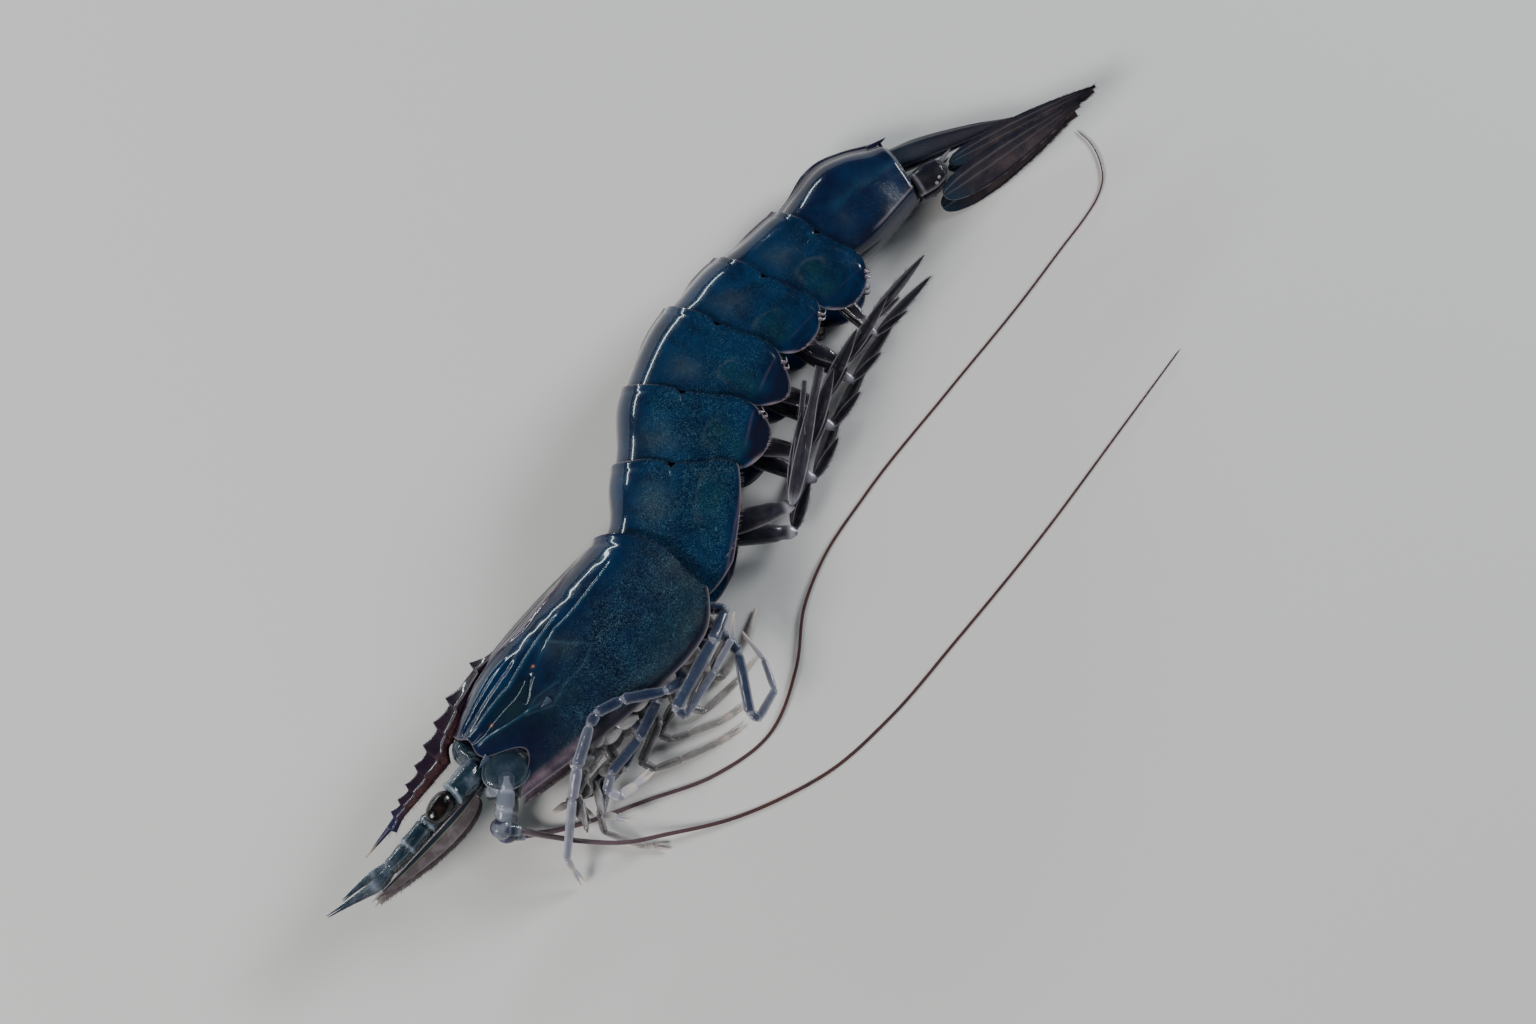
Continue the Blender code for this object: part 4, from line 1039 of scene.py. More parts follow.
@dataclass
class Carapace:
    """The head shield with its ridges, grooves, spines and rolled rim."""

    rows: int = 150
    columns: int = 281
    wall: float = 0.8
    lip: float = 0.14
    folds: tuple[Relief, ...] = (
        Relief(((20.5, 0.36), (24.6, 0.55), (21.4, 0.61), (17.2, 0.61)), 0.12, 0.20, 0.08),
        Relief(((18.6, 0.60), (14.6, 0.66), (10.8, 0.57), (13.6, 0.54), (18.0, 0.575)), 0.12, 0.20, 0.08),
        Relief(((18.5, 0.33), (23.4, 0.53)), 0.0, 1.7, 0.3),
        Relief(((11.6, 0.57), (17.4, 0.61)), 0.0, 1.1, 0.3))
    ridges: tuple[Relief, ...] = (
        Relief(((0.6, 0.29), (4.4, 0.36), (12.3, 0.385), (19.5, 0.34), (25.0, 0.31)), 0.36, 0.26),
        Relief(((1.6, 0.43), (2.7, 0.43), (9.3, 0.54), (14.4, 0.60)), 0.26, 0.24),
        Relief(((4.0, 0.05), (10.0, 0.10), (19.9, 0.19), (27.6, 0.145), (34.0, 0.05)), 0.20, 0.42),
        Relief(((15.9, 0.44), (18.0, 0.41), (20.4, 0.385), (22.8, 0.36), (25.6, 0.365), (31.4, 0.34),
                (36.5, 0.33)), 0.14, 0.24),
        Relief(((14.8, 0.645), (19.0, 0.70), (25.0, 0.76)), 0.14, 0.70),
        Relief(((1.0, 0.20), (5.0, 0.225), (11.0, 0.22), (15.5, 0.24)), 0.20, 0.24),
    )
    grooves: tuple[Relief, ...] = (
        Relief(((0.8, 0.335), (4.4, 0.40), (11.5, 0.43), (17.0, 0.40)), -0.46, 0.55),
        Relief(((15.9, 0.43), (14.6, 0.45), (12.9, 0.49), (11.7, 0.515)), -0.45, 0.45, 0.1),
        Relief(((14.8, 0.62), (19.6, 0.59), (24.9, 0.56), (28.5, 0.50)), -0.30, 0.55),
        Relief(((3.0, 0.035), (10.0, 0.06), (16.0, 0.085), (28.0, 0.075)), -0.40, 0.45),
        Relief(((8.5, 0.66), (13.0, 0.70), (18.0, 0.78)), -0.20, 0.60),
        Relief(((1.0, 0.25), (5.0, 0.28), (11.0, 0.29), (16.0, 0.29)), -0.30, 0.50),
    )

    def margins(self, a: Array) -> tuple[Array, Array]:
        """Front and rear ends along the back: an orbit, then a broad notch deepest at 0.74."""
        end = BODY.reach[BODY.shield_rear]
        notch = bell(a, 0.74, np.where(np.asarray(a) < 0.74, 0.175, 0.19))
        return 0.7 + 1.2 * bell(a, 0.34, 0.09) + 6.6 * notch, end + 2.0 * np.sin(np.pi * a) ** 2

    def spacing(self) -> Array:
        """The columns' turns from -1 to 1, closer together over the ridges, most on the left."""
        even = np.linspace(-1, 1, 2001)
        dense = np.cumsum(1.0 + 2.4 * bell(even, 0.33, 0.13) + 0.8 * bell(even, -0.33, 0.13))
        return np.interp(np.linspace(dense[0], dense[-1], self.columns), dense, even)[None, :]

    def build(self, finishes: Finishes) -> None:
        """Make the shield: the body's surface raised by its ridges, its wall thinner at rims.

        The grid's first parameter runs from the front margin to the rear one and its second round
        the body. Outwards the surface is moved by the ridges, folds and grooves, the rolled rims
        and a slight unevenness.
        """
        u = np.linspace(0, 1, self.rows)[:, None]
        u = 0.35 * (0.5 - 0.5 * np.cos(np.pi * u)) + 0.65 * u
        side = self.spacing()
        v = np.sign(side) * np.abs(side) ** 0.95
        front, rear = self.margins(np.abs(v))
        v = v * (1.0 - 0.10 * np.maximum(0.0, (u - 0.88) / 0.12) ** 2)
        a = np.abs(v)
        along = front + (rear - front) * u
        ridge, fold, groove = ([relief.read(along, a) for relief in kind]
                               for kind in (self.ridges, self.folds, self.grooves))
        height = sum(relief.height * share for relief, share in zip(
            self.ridges + self.folds + self.grooves, ridge + fold + groove))
        keel = bell(a * GIRTH, 0.0, 0.75) * ramp(8.0, 14.0, along) * ramp(40.0, 30.0, along)
        edge_low, edge_front, edge_rear = (1.0 - np.abs(side)) * GIRTH, along - front, rear - along
        rim = np.maximum(np.maximum(bell(edge_low, 0.0, 0.45), bell(edge_front, 0.0, 0.40)),
                         bell(edge_rear, 0.0, 0.30))
        base = BODY.surface(along, v)
        height = (height + 0.55 * keel + 0.16 * rim - 0.14 * bell(edge_low, 1.5, 0.6)
                  - 0.12 * bell(edge_rear, 1.3, 0.5)
                  + 0.10 * ripple(base, 4.5, 3) + 0.035 * ripple(base, 1.3, 4))
        nearest = np.minimum(np.minimum(edge_low, edge_front), edge_rear)
        thick = self.lip + (self.wall - self.lip) * ramp(0.0, 2.5, nearest)
        creases, dents = fold[0] + fold[1], fold[2] + fold[3]
        low = (1.0 - a) * GIRTH
        spots = [bell(np.hypot(along - x, (a - y) * GIRTH), 0.0, size)
                 for x, y, size in ((6.2, 0.43, 0.22), (16.7, 0.41, 0.18))]
        marks = {
            "rim": np.maximum(bell(edge_low, 0.0, 0.20), 0.6 * bell(edge_front, 0.0, 0.13)),
            # Besides the purple back, a dark line along the rear margin, where the shield overlaps the
            # first tail plate, is painted shade.
            "crest_and_shade": ramp(0.27, 0.05, a) + 0.8 * bell(edge_rear, 0.0, 0.28)
            + 0.5 * ramp(8.0, 1.0, edge_front),
            "pink": np.minimum(ridge[2] * 1.1, 1) * ramp(12.0, 20.0, along),
            "rib": 0.5 * ridge[0] + 0.5 * ridge[1] + 0.35 * ridge[3] + 0.4 * ridge[5]
            + 0.25 * creases,
            "speck": ramp(14.0, 27.0, along + 26.0 * (a - 0.5)) * ramp(0.30, 0.52, a)
            * ramp(0.0, 3.0, low),
            "grey": 0.9 * ramp(5.5, 1.0, low) * ramp(13.0, 25.0, along)
            + 0.5 * ramp(0.70, 0.98, a) * ramp(24.0, 12.0, along) + 0.5 * creases + 0.45 * dents
            + 0.7 * bell(along, 38.6, 2.8) * bell(a, 0.70, 0.15),
            "lilac": ramp(0.89, 0.96, a) * ramp(24.0, 9.0, along)
            * (0.35 + 0.65 * ramp(0.4, 1.6, edge_low)),
            # Painted shade: a dark band just inside the lower margin towards the rear, and the lower part
            # of the side painted darker.
            "painted_shade": 0.8 * bell(edge_low, 0.95, 0.40) * ramp(14.0, 24.0, along)
            + 0.42 * ramp(0.30, 0.46, a) * ramp(3.0, 10.0, along),
            "olive": 0.8 * bell(along, 10.5, 4.5) * bell(a, 0.47, 0.09)
            + 0.7 * bell(along, 33.0, 6.0) * bell(a, 0.84, 0.10)
            + 0.6 * bell(along, 15.0, 5.0) * bell(a, 0.66, 0.07),
            "rust": 0.8 * np.maximum(*spots) * (side > 0)}
        skin = Skin().wall(BODY.surface(along, v, -height),
                           BODY.surface(along, v, thick - height), marks)
        for sign in (1, -1):
            for start, turn, length in ((2.4, 0.53, 2.4), (14.8, 0.61, 1.8)):
                root = BODY.surface(start, sign * turn, 0.30)
                tip = BODY.surface(start - length, sign * turn, -0.35)
                skin.tube(thorn(root, tip, 0.6, (0.62, 0.30, 0.03), 12), {"rib": 0.4, "rim": 0.15})
        skin.build("carapace_shell", finishes.shell, "shell", "carapace")
        self.fringe(finishes)

    def fringe(self, finishes: Finishes) -> None:
        """Fine bristles that hang from the shield's lower margin."""
        rng = np.random.default_rng(11)
        count = 420
        share = rng.uniform(0.02, 0.98, count)
        sign = rng.choice((-1.0, 1.0), count)
        front, rear = self.margins(np.ones(count))
        along = front + (rear - front) * share
        roots = BODY.surface(along, sign * 0.985, 0.15)
        low = BODY.surface(along - rng.uniform(-0.6, 1.0, count), sign * 1.02, 0.3)
        Skin().hairs(roots, low - roots, rng.uniform(0.5, 1.3, count), 0.022, 0.12).build(
            "carapace_fringe", finishes.fine, "shell")


@dataclass
class Rostrum:
    """The head spike: a deep narrow blade with a row of teeth above and one below."""

    rear: float = 43.0
    tip: float = 79.2
    half: float = 1.15
    tip_half: float = 0.32
    top: tuple = ((43.0, -15.9), (48.0, -16.1), (54.0, -15.1), (60.0, -13.2), (66.0, -11.1),
                  (72.0, -9.5), (79.2, -8.35))
    under: tuple = ((58.6, -10.6), (60.4, -8.8), (65.0, -8.5), (72.0, -8.2), (79.2, -8.15))
    teeth: tuple = (45.8, 52.2, 56.2, 59.8, 63.0, 66.0, 68.5, 70.6)
    reach: float = 1.725
    height: float = 1.2075

    def outline(self, x: Array) -> tuple[Array, Array]:
        """Upper and lower edge: the teeth stand on the upper curve as short forward hooks.

        A tooth rises evenly from its rear to its point and falls steeply before it.
        """
        top, under = np.array(self.top), np.array(self.under)
        upper = smooth_curve(top[:, 0], top[:, 1], x)
        seat = np.linspace(0.2, 25.0, 80)
        back_x, back_y = BODY.read(seat, 0)[::-1], BODY.read(seat, 1)[::-1]
        on_shield = np.interp(x, back_x, back_y) + 0.25
        free = np.interp(x, under[:, 0], under[:, 1])
        lower = on_shield + (free - on_shield) * ramp(57.6, 60.2, x)
        upper = np.minimum(upper, lower - 0.30)
        for index, root in enumerate(self.teeth):
            size = 1.0 - 0.05 * index
            hook = self.hook(x, root - 1.5 * size, root + self.reach * size, 1.7, 0.35)
            upper = upper - self.height * size * hook
        return upper, lower + 0.75 * self.hook(x, 70.8, 73.4, 1.4, 0.4)

    @staticmethod
    def hook(x: Array, start: float, point: float, power: float, fall: float) -> Array:
        """A tooth's height from 0 to 1: a power of the way to its point, then a straight fall."""
        rise = np.clip((x - start) / (point - start), 0, 1) ** power
        return np.where(x <= point, rise, np.clip((point + fall - x) / fall, 0, 1))

    def build(self, finishes: Finishes) -> None:
        """Make the blade: rings of a lens section between the two edges, with a rib on each side.

        The half width at a level q from the upper edge is the blade's own half width times a
        profile that is sharp above, fullest at the rib and narrower at the lower edge.
        """
        rows, levels = 560, 28
        x = np.linspace(self.rear, self.tip, rows)
        upper, lower = self.outline(x)
        share = (x - self.rear) / (self.tip - self.rear)
        half = self.half * np.minimum(1.0, 0.25 + 5 * share)
        half = half + (self.tip_half - half) * share**1.6
        half = half * ramp(1.03, 0.96, share)
        q = 0.5 - 0.5 * np.cos(np.linspace(0, np.pi, levels))
        rib = bell(q, 0.66, 0.09)
        profile = np.minimum(1.0, q / 0.62) ** 0.62 * (0.58 + 0.30 * ramp(0.0, 0.6, q)) + 0.32 * rib
        profile = profile * np.sqrt(np.clip((1.0 - q) / 0.16, 0, 1)) * np.sqrt(np.clip(q / 0.02, 0, 1))
        y = upper[:, None] + (lower - upper)[:, None] * q[None, :]
        wide = half[:, None] * profile[None, :]
        left = np.stack([np.broadcast_to(x[:, None], y.shape), y, MIDPLANE + wide], axis=-1)
        right = left * (1, 1, -1) + (0, 0, 2 * MIDPLANE)
        rings = np.concatenate([left, right[:, ::-1][:, 1:-1]], axis=1)
        depth = np.concatenate([q, q[::-1][1:-1]])[None, :]
        along = x[:, None]
        marks = {
            "band": bell(depth, 0.80, 0.16) * ramp(52.0, 57.0, along) * ramp(75.0, 70.0, along),
            "violet": ramp(69.0, 74.0, along) * ramp(79.0, 76.0, along),
            "ivory": ramp(76.2, 78.6, along),
            "edge": ramp(0.10, 0.0, depth) + 0.4 * bell(depth, 0.66, 0.05)}
        Skin().tube(rings, marks).build("rostrum_blade", finishes.horn, "rostrum", "rostrum")
        self.bristles(finishes)

    def bristles(self, finishes: Finishes) -> None:
        """Short bristles between the teeth and under the blade's free length."""
        rng = np.random.default_rng(5)
        over, count = 160, 420
        x = np.concatenate([rng.uniform(52.0, 71.0, over), rng.uniform(60.0, 75.0, count - over)])
        upper, lower = self.outline(x)
        above = np.arange(count) < over
        y = np.where(above, upper + 0.08, lower - 0.05)
        roots = np.stack([x, y, MIDPLANE + rng.uniform(-0.3, 0.3, count)], axis=-1)
        ways = np.stack([rng.uniform(0.4, 1.0, count), np.where(above, -0.5, 0.9),
                         rng.uniform(-0.35, 0.35, count)], axis=-1)
        lengths = np.where(above, rng.uniform(0.3, 0.6, count), rng.uniform(0.4, 1.1, count))
        Skin().hairs(roots, ways, lengths, 0.020, 0.1).build(
            "rostrum_bristles", finishes.fine, "rostrum")


@dataclass
class TailSegment:
    """One tail segment: an overlapping plate with hanging side lobes, and the flesh inside it."""

    index: int
    drops: tuple = (1.6, 4.6, 5.0, 3.6, 4.0)
    olive: tuple = (((45.9, 0.70), (45.4, 0.93)), ((55.6, 0.70), (51.3, 1.06)),
                    ((69.2, 0.68), (64.7, 1.05)), ((81.6, 0.72), (78.3, 1.02)),
                    ((93.4, 0.62), (90.7, 1.04)))
    grey: tuple = ((44.0, 0.45), (52.9, 0.43), (66.0, 0.50), (80.0, 0.50), (92.0, 0.48))
    # tones: for each segment, how strongly its hanging lobes are painted darker as shade, and how lilac
    # their lower edge is.
    tones: tuple = (1.0, 0.9, 0.6, 0.25, 0.15)
    specks: tuple = (1.0, 0.9, 0.55, 0.35, 0.3)
    girth: float = 24.0
    shell: float = 0.5
    lip: float = 0.10
    step: float = 0.55
    rows: int = 100
    columns: int = 231

    @property
    def first(self) -> bool:
        """Whether it is the segment that reaches under the shield."""
        return self.index == 0

    @property
    def start(self) -> float:
        """Where the flesh begins along the back: the first segment's under the shield."""
        return BODY.span(self.index)[0] - (2.6 if self.first else 0.0)

    def build(self, finishes: Finishes) -> None:
        """Make the plate and the core."""
        self.plate(finishes)
        self.core(finishes)

    def low(self, u: Array) -> Array:
        """The lower edge's v: 0.97 and a lobe of sin(pi u^0.8)^0.6, cut back in front on the first."""
        lobe = np.sin(np.pi * np.clip(u, 0.0, 1.0) ** 0.8) ** 0.6
        side = (1 - BODY.dome) * BODY.read(BODY.span(self.index)[1], 3)
        low = 0.97 + 0.5 * self.drops[self.index] * lobe / side
        return low - 0.13 * self.first * np.maximum(0.0, 1.0 - u / 0.4)

    def lift(self, u: Array) -> Array:
        """How far the plate lies under the body's full outline: deep in front, none at the rear."""
        hold, deep = (0.34, 1.25) if self.first else (0.20, self.step)
        return deep * (1.0 - ramp(hold, 0.80, u))

    def plate(self, finishes: Finishes) -> None:
        """The plate: the body's surface from under the plate before it to its own rear margin.

        The rear margin bulges over the side as a bell and has a hinge notch half way down.
        """
        end = BODY.span(self.index)[1]
        start = self.start + (0.0 if self.first else 0.4)
        u, side = sheet(self.rows, self.columns)
        low = self.low(u)
        v = side * low
        a = np.abs(v)
        rear = (end + 0.45 + 0.9 * bell(a, 0.86, 0.13) - 0.8 * bell(a, 0.52, 0.025)
                + 0.25 * bell(a, 0.38, 0.07))
        along = start + (rear - start) * u
        edge_low, edge_rear = (low - a) * GIRTH * 0.75, rear - along
        rim = np.maximum(bell(edge_rear, 0.0, 0.24), bell(edge_low, 0.0, 0.30) * ramp(0.06, 0.2, u))
        hinge = bell(np.hypot(along - end + 0.9, (a - 0.515) * self.girth), 0.0, 0.75)
        crease, fold = (bell((a - level - slant * (1 - u)) * self.girth, 0.0, width)
                        * ramp(low_u, high_u, u) * ramp(1.0, stop, u)
                        for level, slant, width, low_u, high_u, stop in (
                            (0.51, 0.05, 0.42, 0.45, 0.8, 0.93), (0.63, 0.10, 0.6, 0.35, 0.6, 0.85)))
        keel = bell(a * GIRTH, 0.0, 0.55) * (0.3 if self.index < 2 else 1.0) * ramp(0.2, 0.6, u)
        base = BODY.surface(along, v)
        flank = ramp(0.28, 0.5, a)
        height = (0.05 * rim + 0.34 * hinge - 0.30 * crease - 0.16 * fold + 0.35 * keel
                  - 0.05 * bell(edge_rear, 1.1, 0.4) - 0.05 * bell(edge_low, 1.3, 0.5)
                  + (0.05 + 0.13 * flank) * ripple(base, 3.4, 20 + self.index)
                  + 0.05 * flank * ripple(base, 1.1, 40 + self.index))
        inset = self.lift(u) - height
        outer = BODY.surface(along, v, inset)
        thick = self.lip + (self.shell - self.lip) * ramp(0.0, 2.2, np.minimum(edge_low, edge_rear))
        tone = self.tones[self.index]
        # hang paints the hanging lobes darker as shade.
        hang = tone * ramp(1.00, 1.08, a + 0.04 * ripple(base, 2.2, 70)) * ramp(0.06, 0.16, u)
        pit = bell(np.hypot(along - end - 0.2, (a - 0.52) * self.girth), 0.0, 0.55)
        patch = Relief(self.olive[self.index], 1.0, 2.3, 0.25).read(along, a)
        x, y = self.grey[self.index]
        cloud = bell(np.hypot(along - x, (a - y) * self.girth), 0.0, 2.6)
        marks = {
            "rim": 0.55 * bell(edge_rear, 0.0, 0.14) * ramp(0.42, 0.22, a)
            + 0.8 * bell(edge_low, 0.0, 0.15) * ramp(0.1, 0.2, u)
            + 0.9 * bell(edge_low, 0.25, 0.35) * bell(u, 0.10, 0.07) * (not self.first),
            # The dark spot at the hinge notch is painted shade; the purple along the back is the shell's
            # colour.
            "crest_and_shade": 0.9 * ramp(0.20, 0.05, a) + 0.8 * pit,
            "speck": ramp(0.26, 0.44, a) * self.specks[self.index] * ramp(1.02, 0.94, a),
            "olive": 0.55 * patch,
            "grey": 0.5 * cloud + 0.5 * bell(patch, 0.35, 0.15) * ramp(0.85, 0.7, a),
            # Painted shade on the hanging lobes and in a dark line along the rear margin, where this plate
            # overlaps the next.
            "painted_shade": hang + 0.8 * bell(edge_rear, 0.0, 0.22) * ramp(0.22, 0.42, a),
            "lilac": 0.25 * tone * bell(a, 1.012, 0.008) * ramp(0.2, 0.4, u) * ramp(0.95, 0.8, u),
            "pink": 0.35 * ramp(0.14, 0.02, a) * (not self.first),
            "rib": 0.3 * hinge}
        skin = Skin().wall(outer, BODY.surface(along, v, inset + thick), marks)
        if not self.first:
            self.spines(skin, outer)
        name = f"abdomen_{self.index + 1}"
        skin.build(f"{name}_plate", finishes.shell, "shell", name)
        self.bristles(finishes)

    def spines(self, skin: Skin, outer: Array) -> None:
        """Add the pale bent spines that grow from each lobe's lower edge, rearwards and down."""
        for edge, inside in ((0, 8), (-1, -9)):
            for share, length in ((0.90, 2.0), (0.83, 1.5)):
                row = int(share * self.rows)
                root = outer[row, edge]
                back, down = unit(root - outer[row - 6, edge]), unit(root - outer[row, inside])
                joints = [(*(root + back * length * p + down * length * q), r) for p, q, r in
                          ((-0.25, -0.30, 0.34), (0.15, 0.40, 0.17), (0.75, 0.62, 0.02))]
                skin.tube(rod(joints, 10, 8), {"rim": 0.55, "lilac": 0.5})

    def bristles(self, finishes: Finishes) -> None:
        """Fine bristles along the lower rear edge of each side lobe."""
        rng = np.random.default_rng(60 + self.index)
        count = 150
        u = rng.uniform(0.25, 0.98, count)
        sign = rng.choice((-1.0, 1.0), count)
        begin, end = BODY.span(self.index)
        low = self.low(u)
        along = begin + (end + 0.95 - begin) * u
        roots = BODY.surface(along, sign * low * 0.985, 0.15)
        ahead = BODY.surface(along + rng.uniform(0.2, 1.2, count), sign * low * 1.06, 0.3)
        Skin().hairs(roots, ahead - roots, rng.uniform(0.4, 1.1, count), 0.018, 0.12).build(
            f"abdomen_{self.index + 1}_fringe", finishes.fine, "shell")

    def core(self, finishes: Finishes) -> None:
        """The flesh under the plate, its belly crossed by a raised bar before the next joint."""
        rows, arch, belly = 44, 60, 40
        u = np.linspace(0, 1, rows)
        along = self.start + 0.2 + (BODY.span(self.index)[1] - self.start - 0.4) * u
        inset = self.lift(u) + self.shell + 0.25 + 0.5 * (bell(u, 0.0, 0.05) + bell(u, 1.0, 0.05))
        rings = BODY.section(along, inset, 0.80, 0.7, arch, belly)
        dx, dy = BODY.back(along)[2:]
        down = np.stack([dx, dy, np.zeros_like(dx)], axis=-1)[:, None]
        hang = np.sin(np.pi * (np.arange(belly) + 0.5) / belly) ** 0.5
        hang = np.concatenate([np.zeros(arch), hang])[None, :, None]
        bar = (0.8 * bell(u, 0.72, 0.10) - 0.3 * bell(u, 0.5, 0.08))[:, None, None]
        rings = rings + down * hang * (bar + 0.15 * ripple(rings, 2.0, 90 + self.index)[..., None])
        Skin().tube(rings).build(f"abdomen_{self.index + 1}_flesh", finishes.flesh, "shell")


@dataclass
class LastSegment:
    """The sixth tail segment: a closed keeled sleeve with side scars and a rear spine."""

    rows: int = 170
    arch: int = 240
    belly: int = 70
    girth: float = 22.0

    def build(self, finishes: Finishes) -> None:
        """Make the sleeve: closed sections that taper in at both ends, and the keel's spine."""
        begin, end = BODY.span(5)
        u = np.linspace(0, 1, self.rows)
        along = begin + 0.4 + (end - begin - 0.5) * u
        inset = 0.55 * (1 - ramp(0.12, 0.6, u)) + 0.5 * ramp(0.95, 1.0, u) ** 2
        rings = BODY.section(along, inset, 0.84, 1.9, self.arch, self.belly)
        v = np.concatenate([0.84 * np.linspace(-1, 1, self.arch), np.full(self.belly, 0.95)])
        a, run = np.abs(v)[None, :], along[:, None] - begin
        x, y, dx, dy = BODY.back(along)
        half = BODY.read(along, 3) * 0.5
        centre = np.stack([x + dx * half, y + dy * half, BODY.read(along, 5)], axis=-1)[:, None]
        u = u[:, None]
        scars = sum(bell((a - 0.50 - 0.02 * k) * self.girth, 0.0, 0.30) * bell(run, 6.0 + 4.2 * k, 1.5)
                    for k in range(3))
        seam = bell((a - 0.47 - 0.004 * run) * self.girth, 0.0, 0.55) * ramp(0.1, 0.25, u)
        rear = end - begin - run
        keel = bell(a * GIRTH, 0.0, 0.5) * ramp(0.1, 0.35, u)
        height = (0.08 * scars - 0.05 * seam + 0.04 * bell(rear, 0.0, 0.5) + 0.45 * keel
                  + 0.12 * ripple(rings, 3.5, 77))
        rings = rings + unit(rings - centre) * height[..., None]
        stripe = (a - 0.50 + 0.002 * run) * self.girth + 0.5 * ripple(rings, 1.6, 78)
        marks = {
            "rim": 0.25 * bell(rear, 0.0, 0.25) + 0.5 * bell(a, 0.835, 0.012) * ramp(0.3, 0.5, u),
            "crest_and_shade": 0.35 + ramp(0.25, 0.05, a),
            "rib": 0.24 * bell(stripe, 0.0, 0.95) * ramp(0.15, 0.3, u),
            "speck": 0.15 * ramp(0.3, 0.5, a),
            "grey": 0.55 * bell(np.hypot(run - 5.5, (a - 0.62) * self.girth), 0.0, 1.7),
            # Painted shade: the lower side is painted darker.
            "painted_shade": 0.6 * ramp(0.70, 0.84, a)}
        skin = Skin().tube(rings, marks)
        root = BODY.surface(end - 2.4, 0.0, 0.5)
        tip = BODY.surface(end, 0.0, 0.2) + (-1.2, -0.3, 0.0)
        skin.tube(thorn(root, tip, 0.55, (0.75, 0.36, 0.04), 14), {"crest_and_shade": 0.8})
        skin.build("abdomen_6_sleeve", finishes.shell, "shell", "abdomen_6")


@dataclass
class Trunk:
    """The flesh under the shield, on which the limbs grow, with its paired swellings."""

    rows: int = 120
    half: int = 60
    roots: tuple = (17.8, 22.8, 27.4, 32.0, 36.6, 41.5)
    neck: tuple = ((58.4, -3.6, 0.42, 0.43), (57.6, -3.9, 0.52, 0.50), (54.6, -4.4, 0.70, 0.62))

    def build(self, finishes: Finishes) -> None:
        """Make the trunk: closed sections under the shield, bulging below at each pair of legs."""
        end = BODY.reach[BODY.shield_rear] - 3.3
        along = np.linspace(8.5, end, self.rows)
        rings = BODY.section(along, np.full(self.rows, 1.3), 0.78, 0.8, self.half, self.half)
        middle = rings[0].mean(axis=0)
        neck = [np.array((x, y, MIDPLANE)) + (rings[0] - middle) * (0.0, tall, wide)
                for x, y, tall, wide in self.neck]
        rings = np.concatenate([np.array(neck), rings])
        turn = np.arange(self.half)
        belly = np.concatenate([np.zeros(self.half), np.sin(np.pi * (turn + 0.5) / self.half)])
        twin = np.abs(np.sin(2 * np.pi * np.clip((np.arange(2 * self.half) - 59) / 61.0, 0, 1)))
        pairs = sum(bell(rings[..., 0], root, 1.5) for root in self.roots)
        rings[..., 1] += belly * (pairs * twin * 0.9 + 0.12 * ripple(rings, 1.8, 9))
        Skin().tube(rings).build("thorax_flesh", finishes.flesh, "thorax", "thorax")


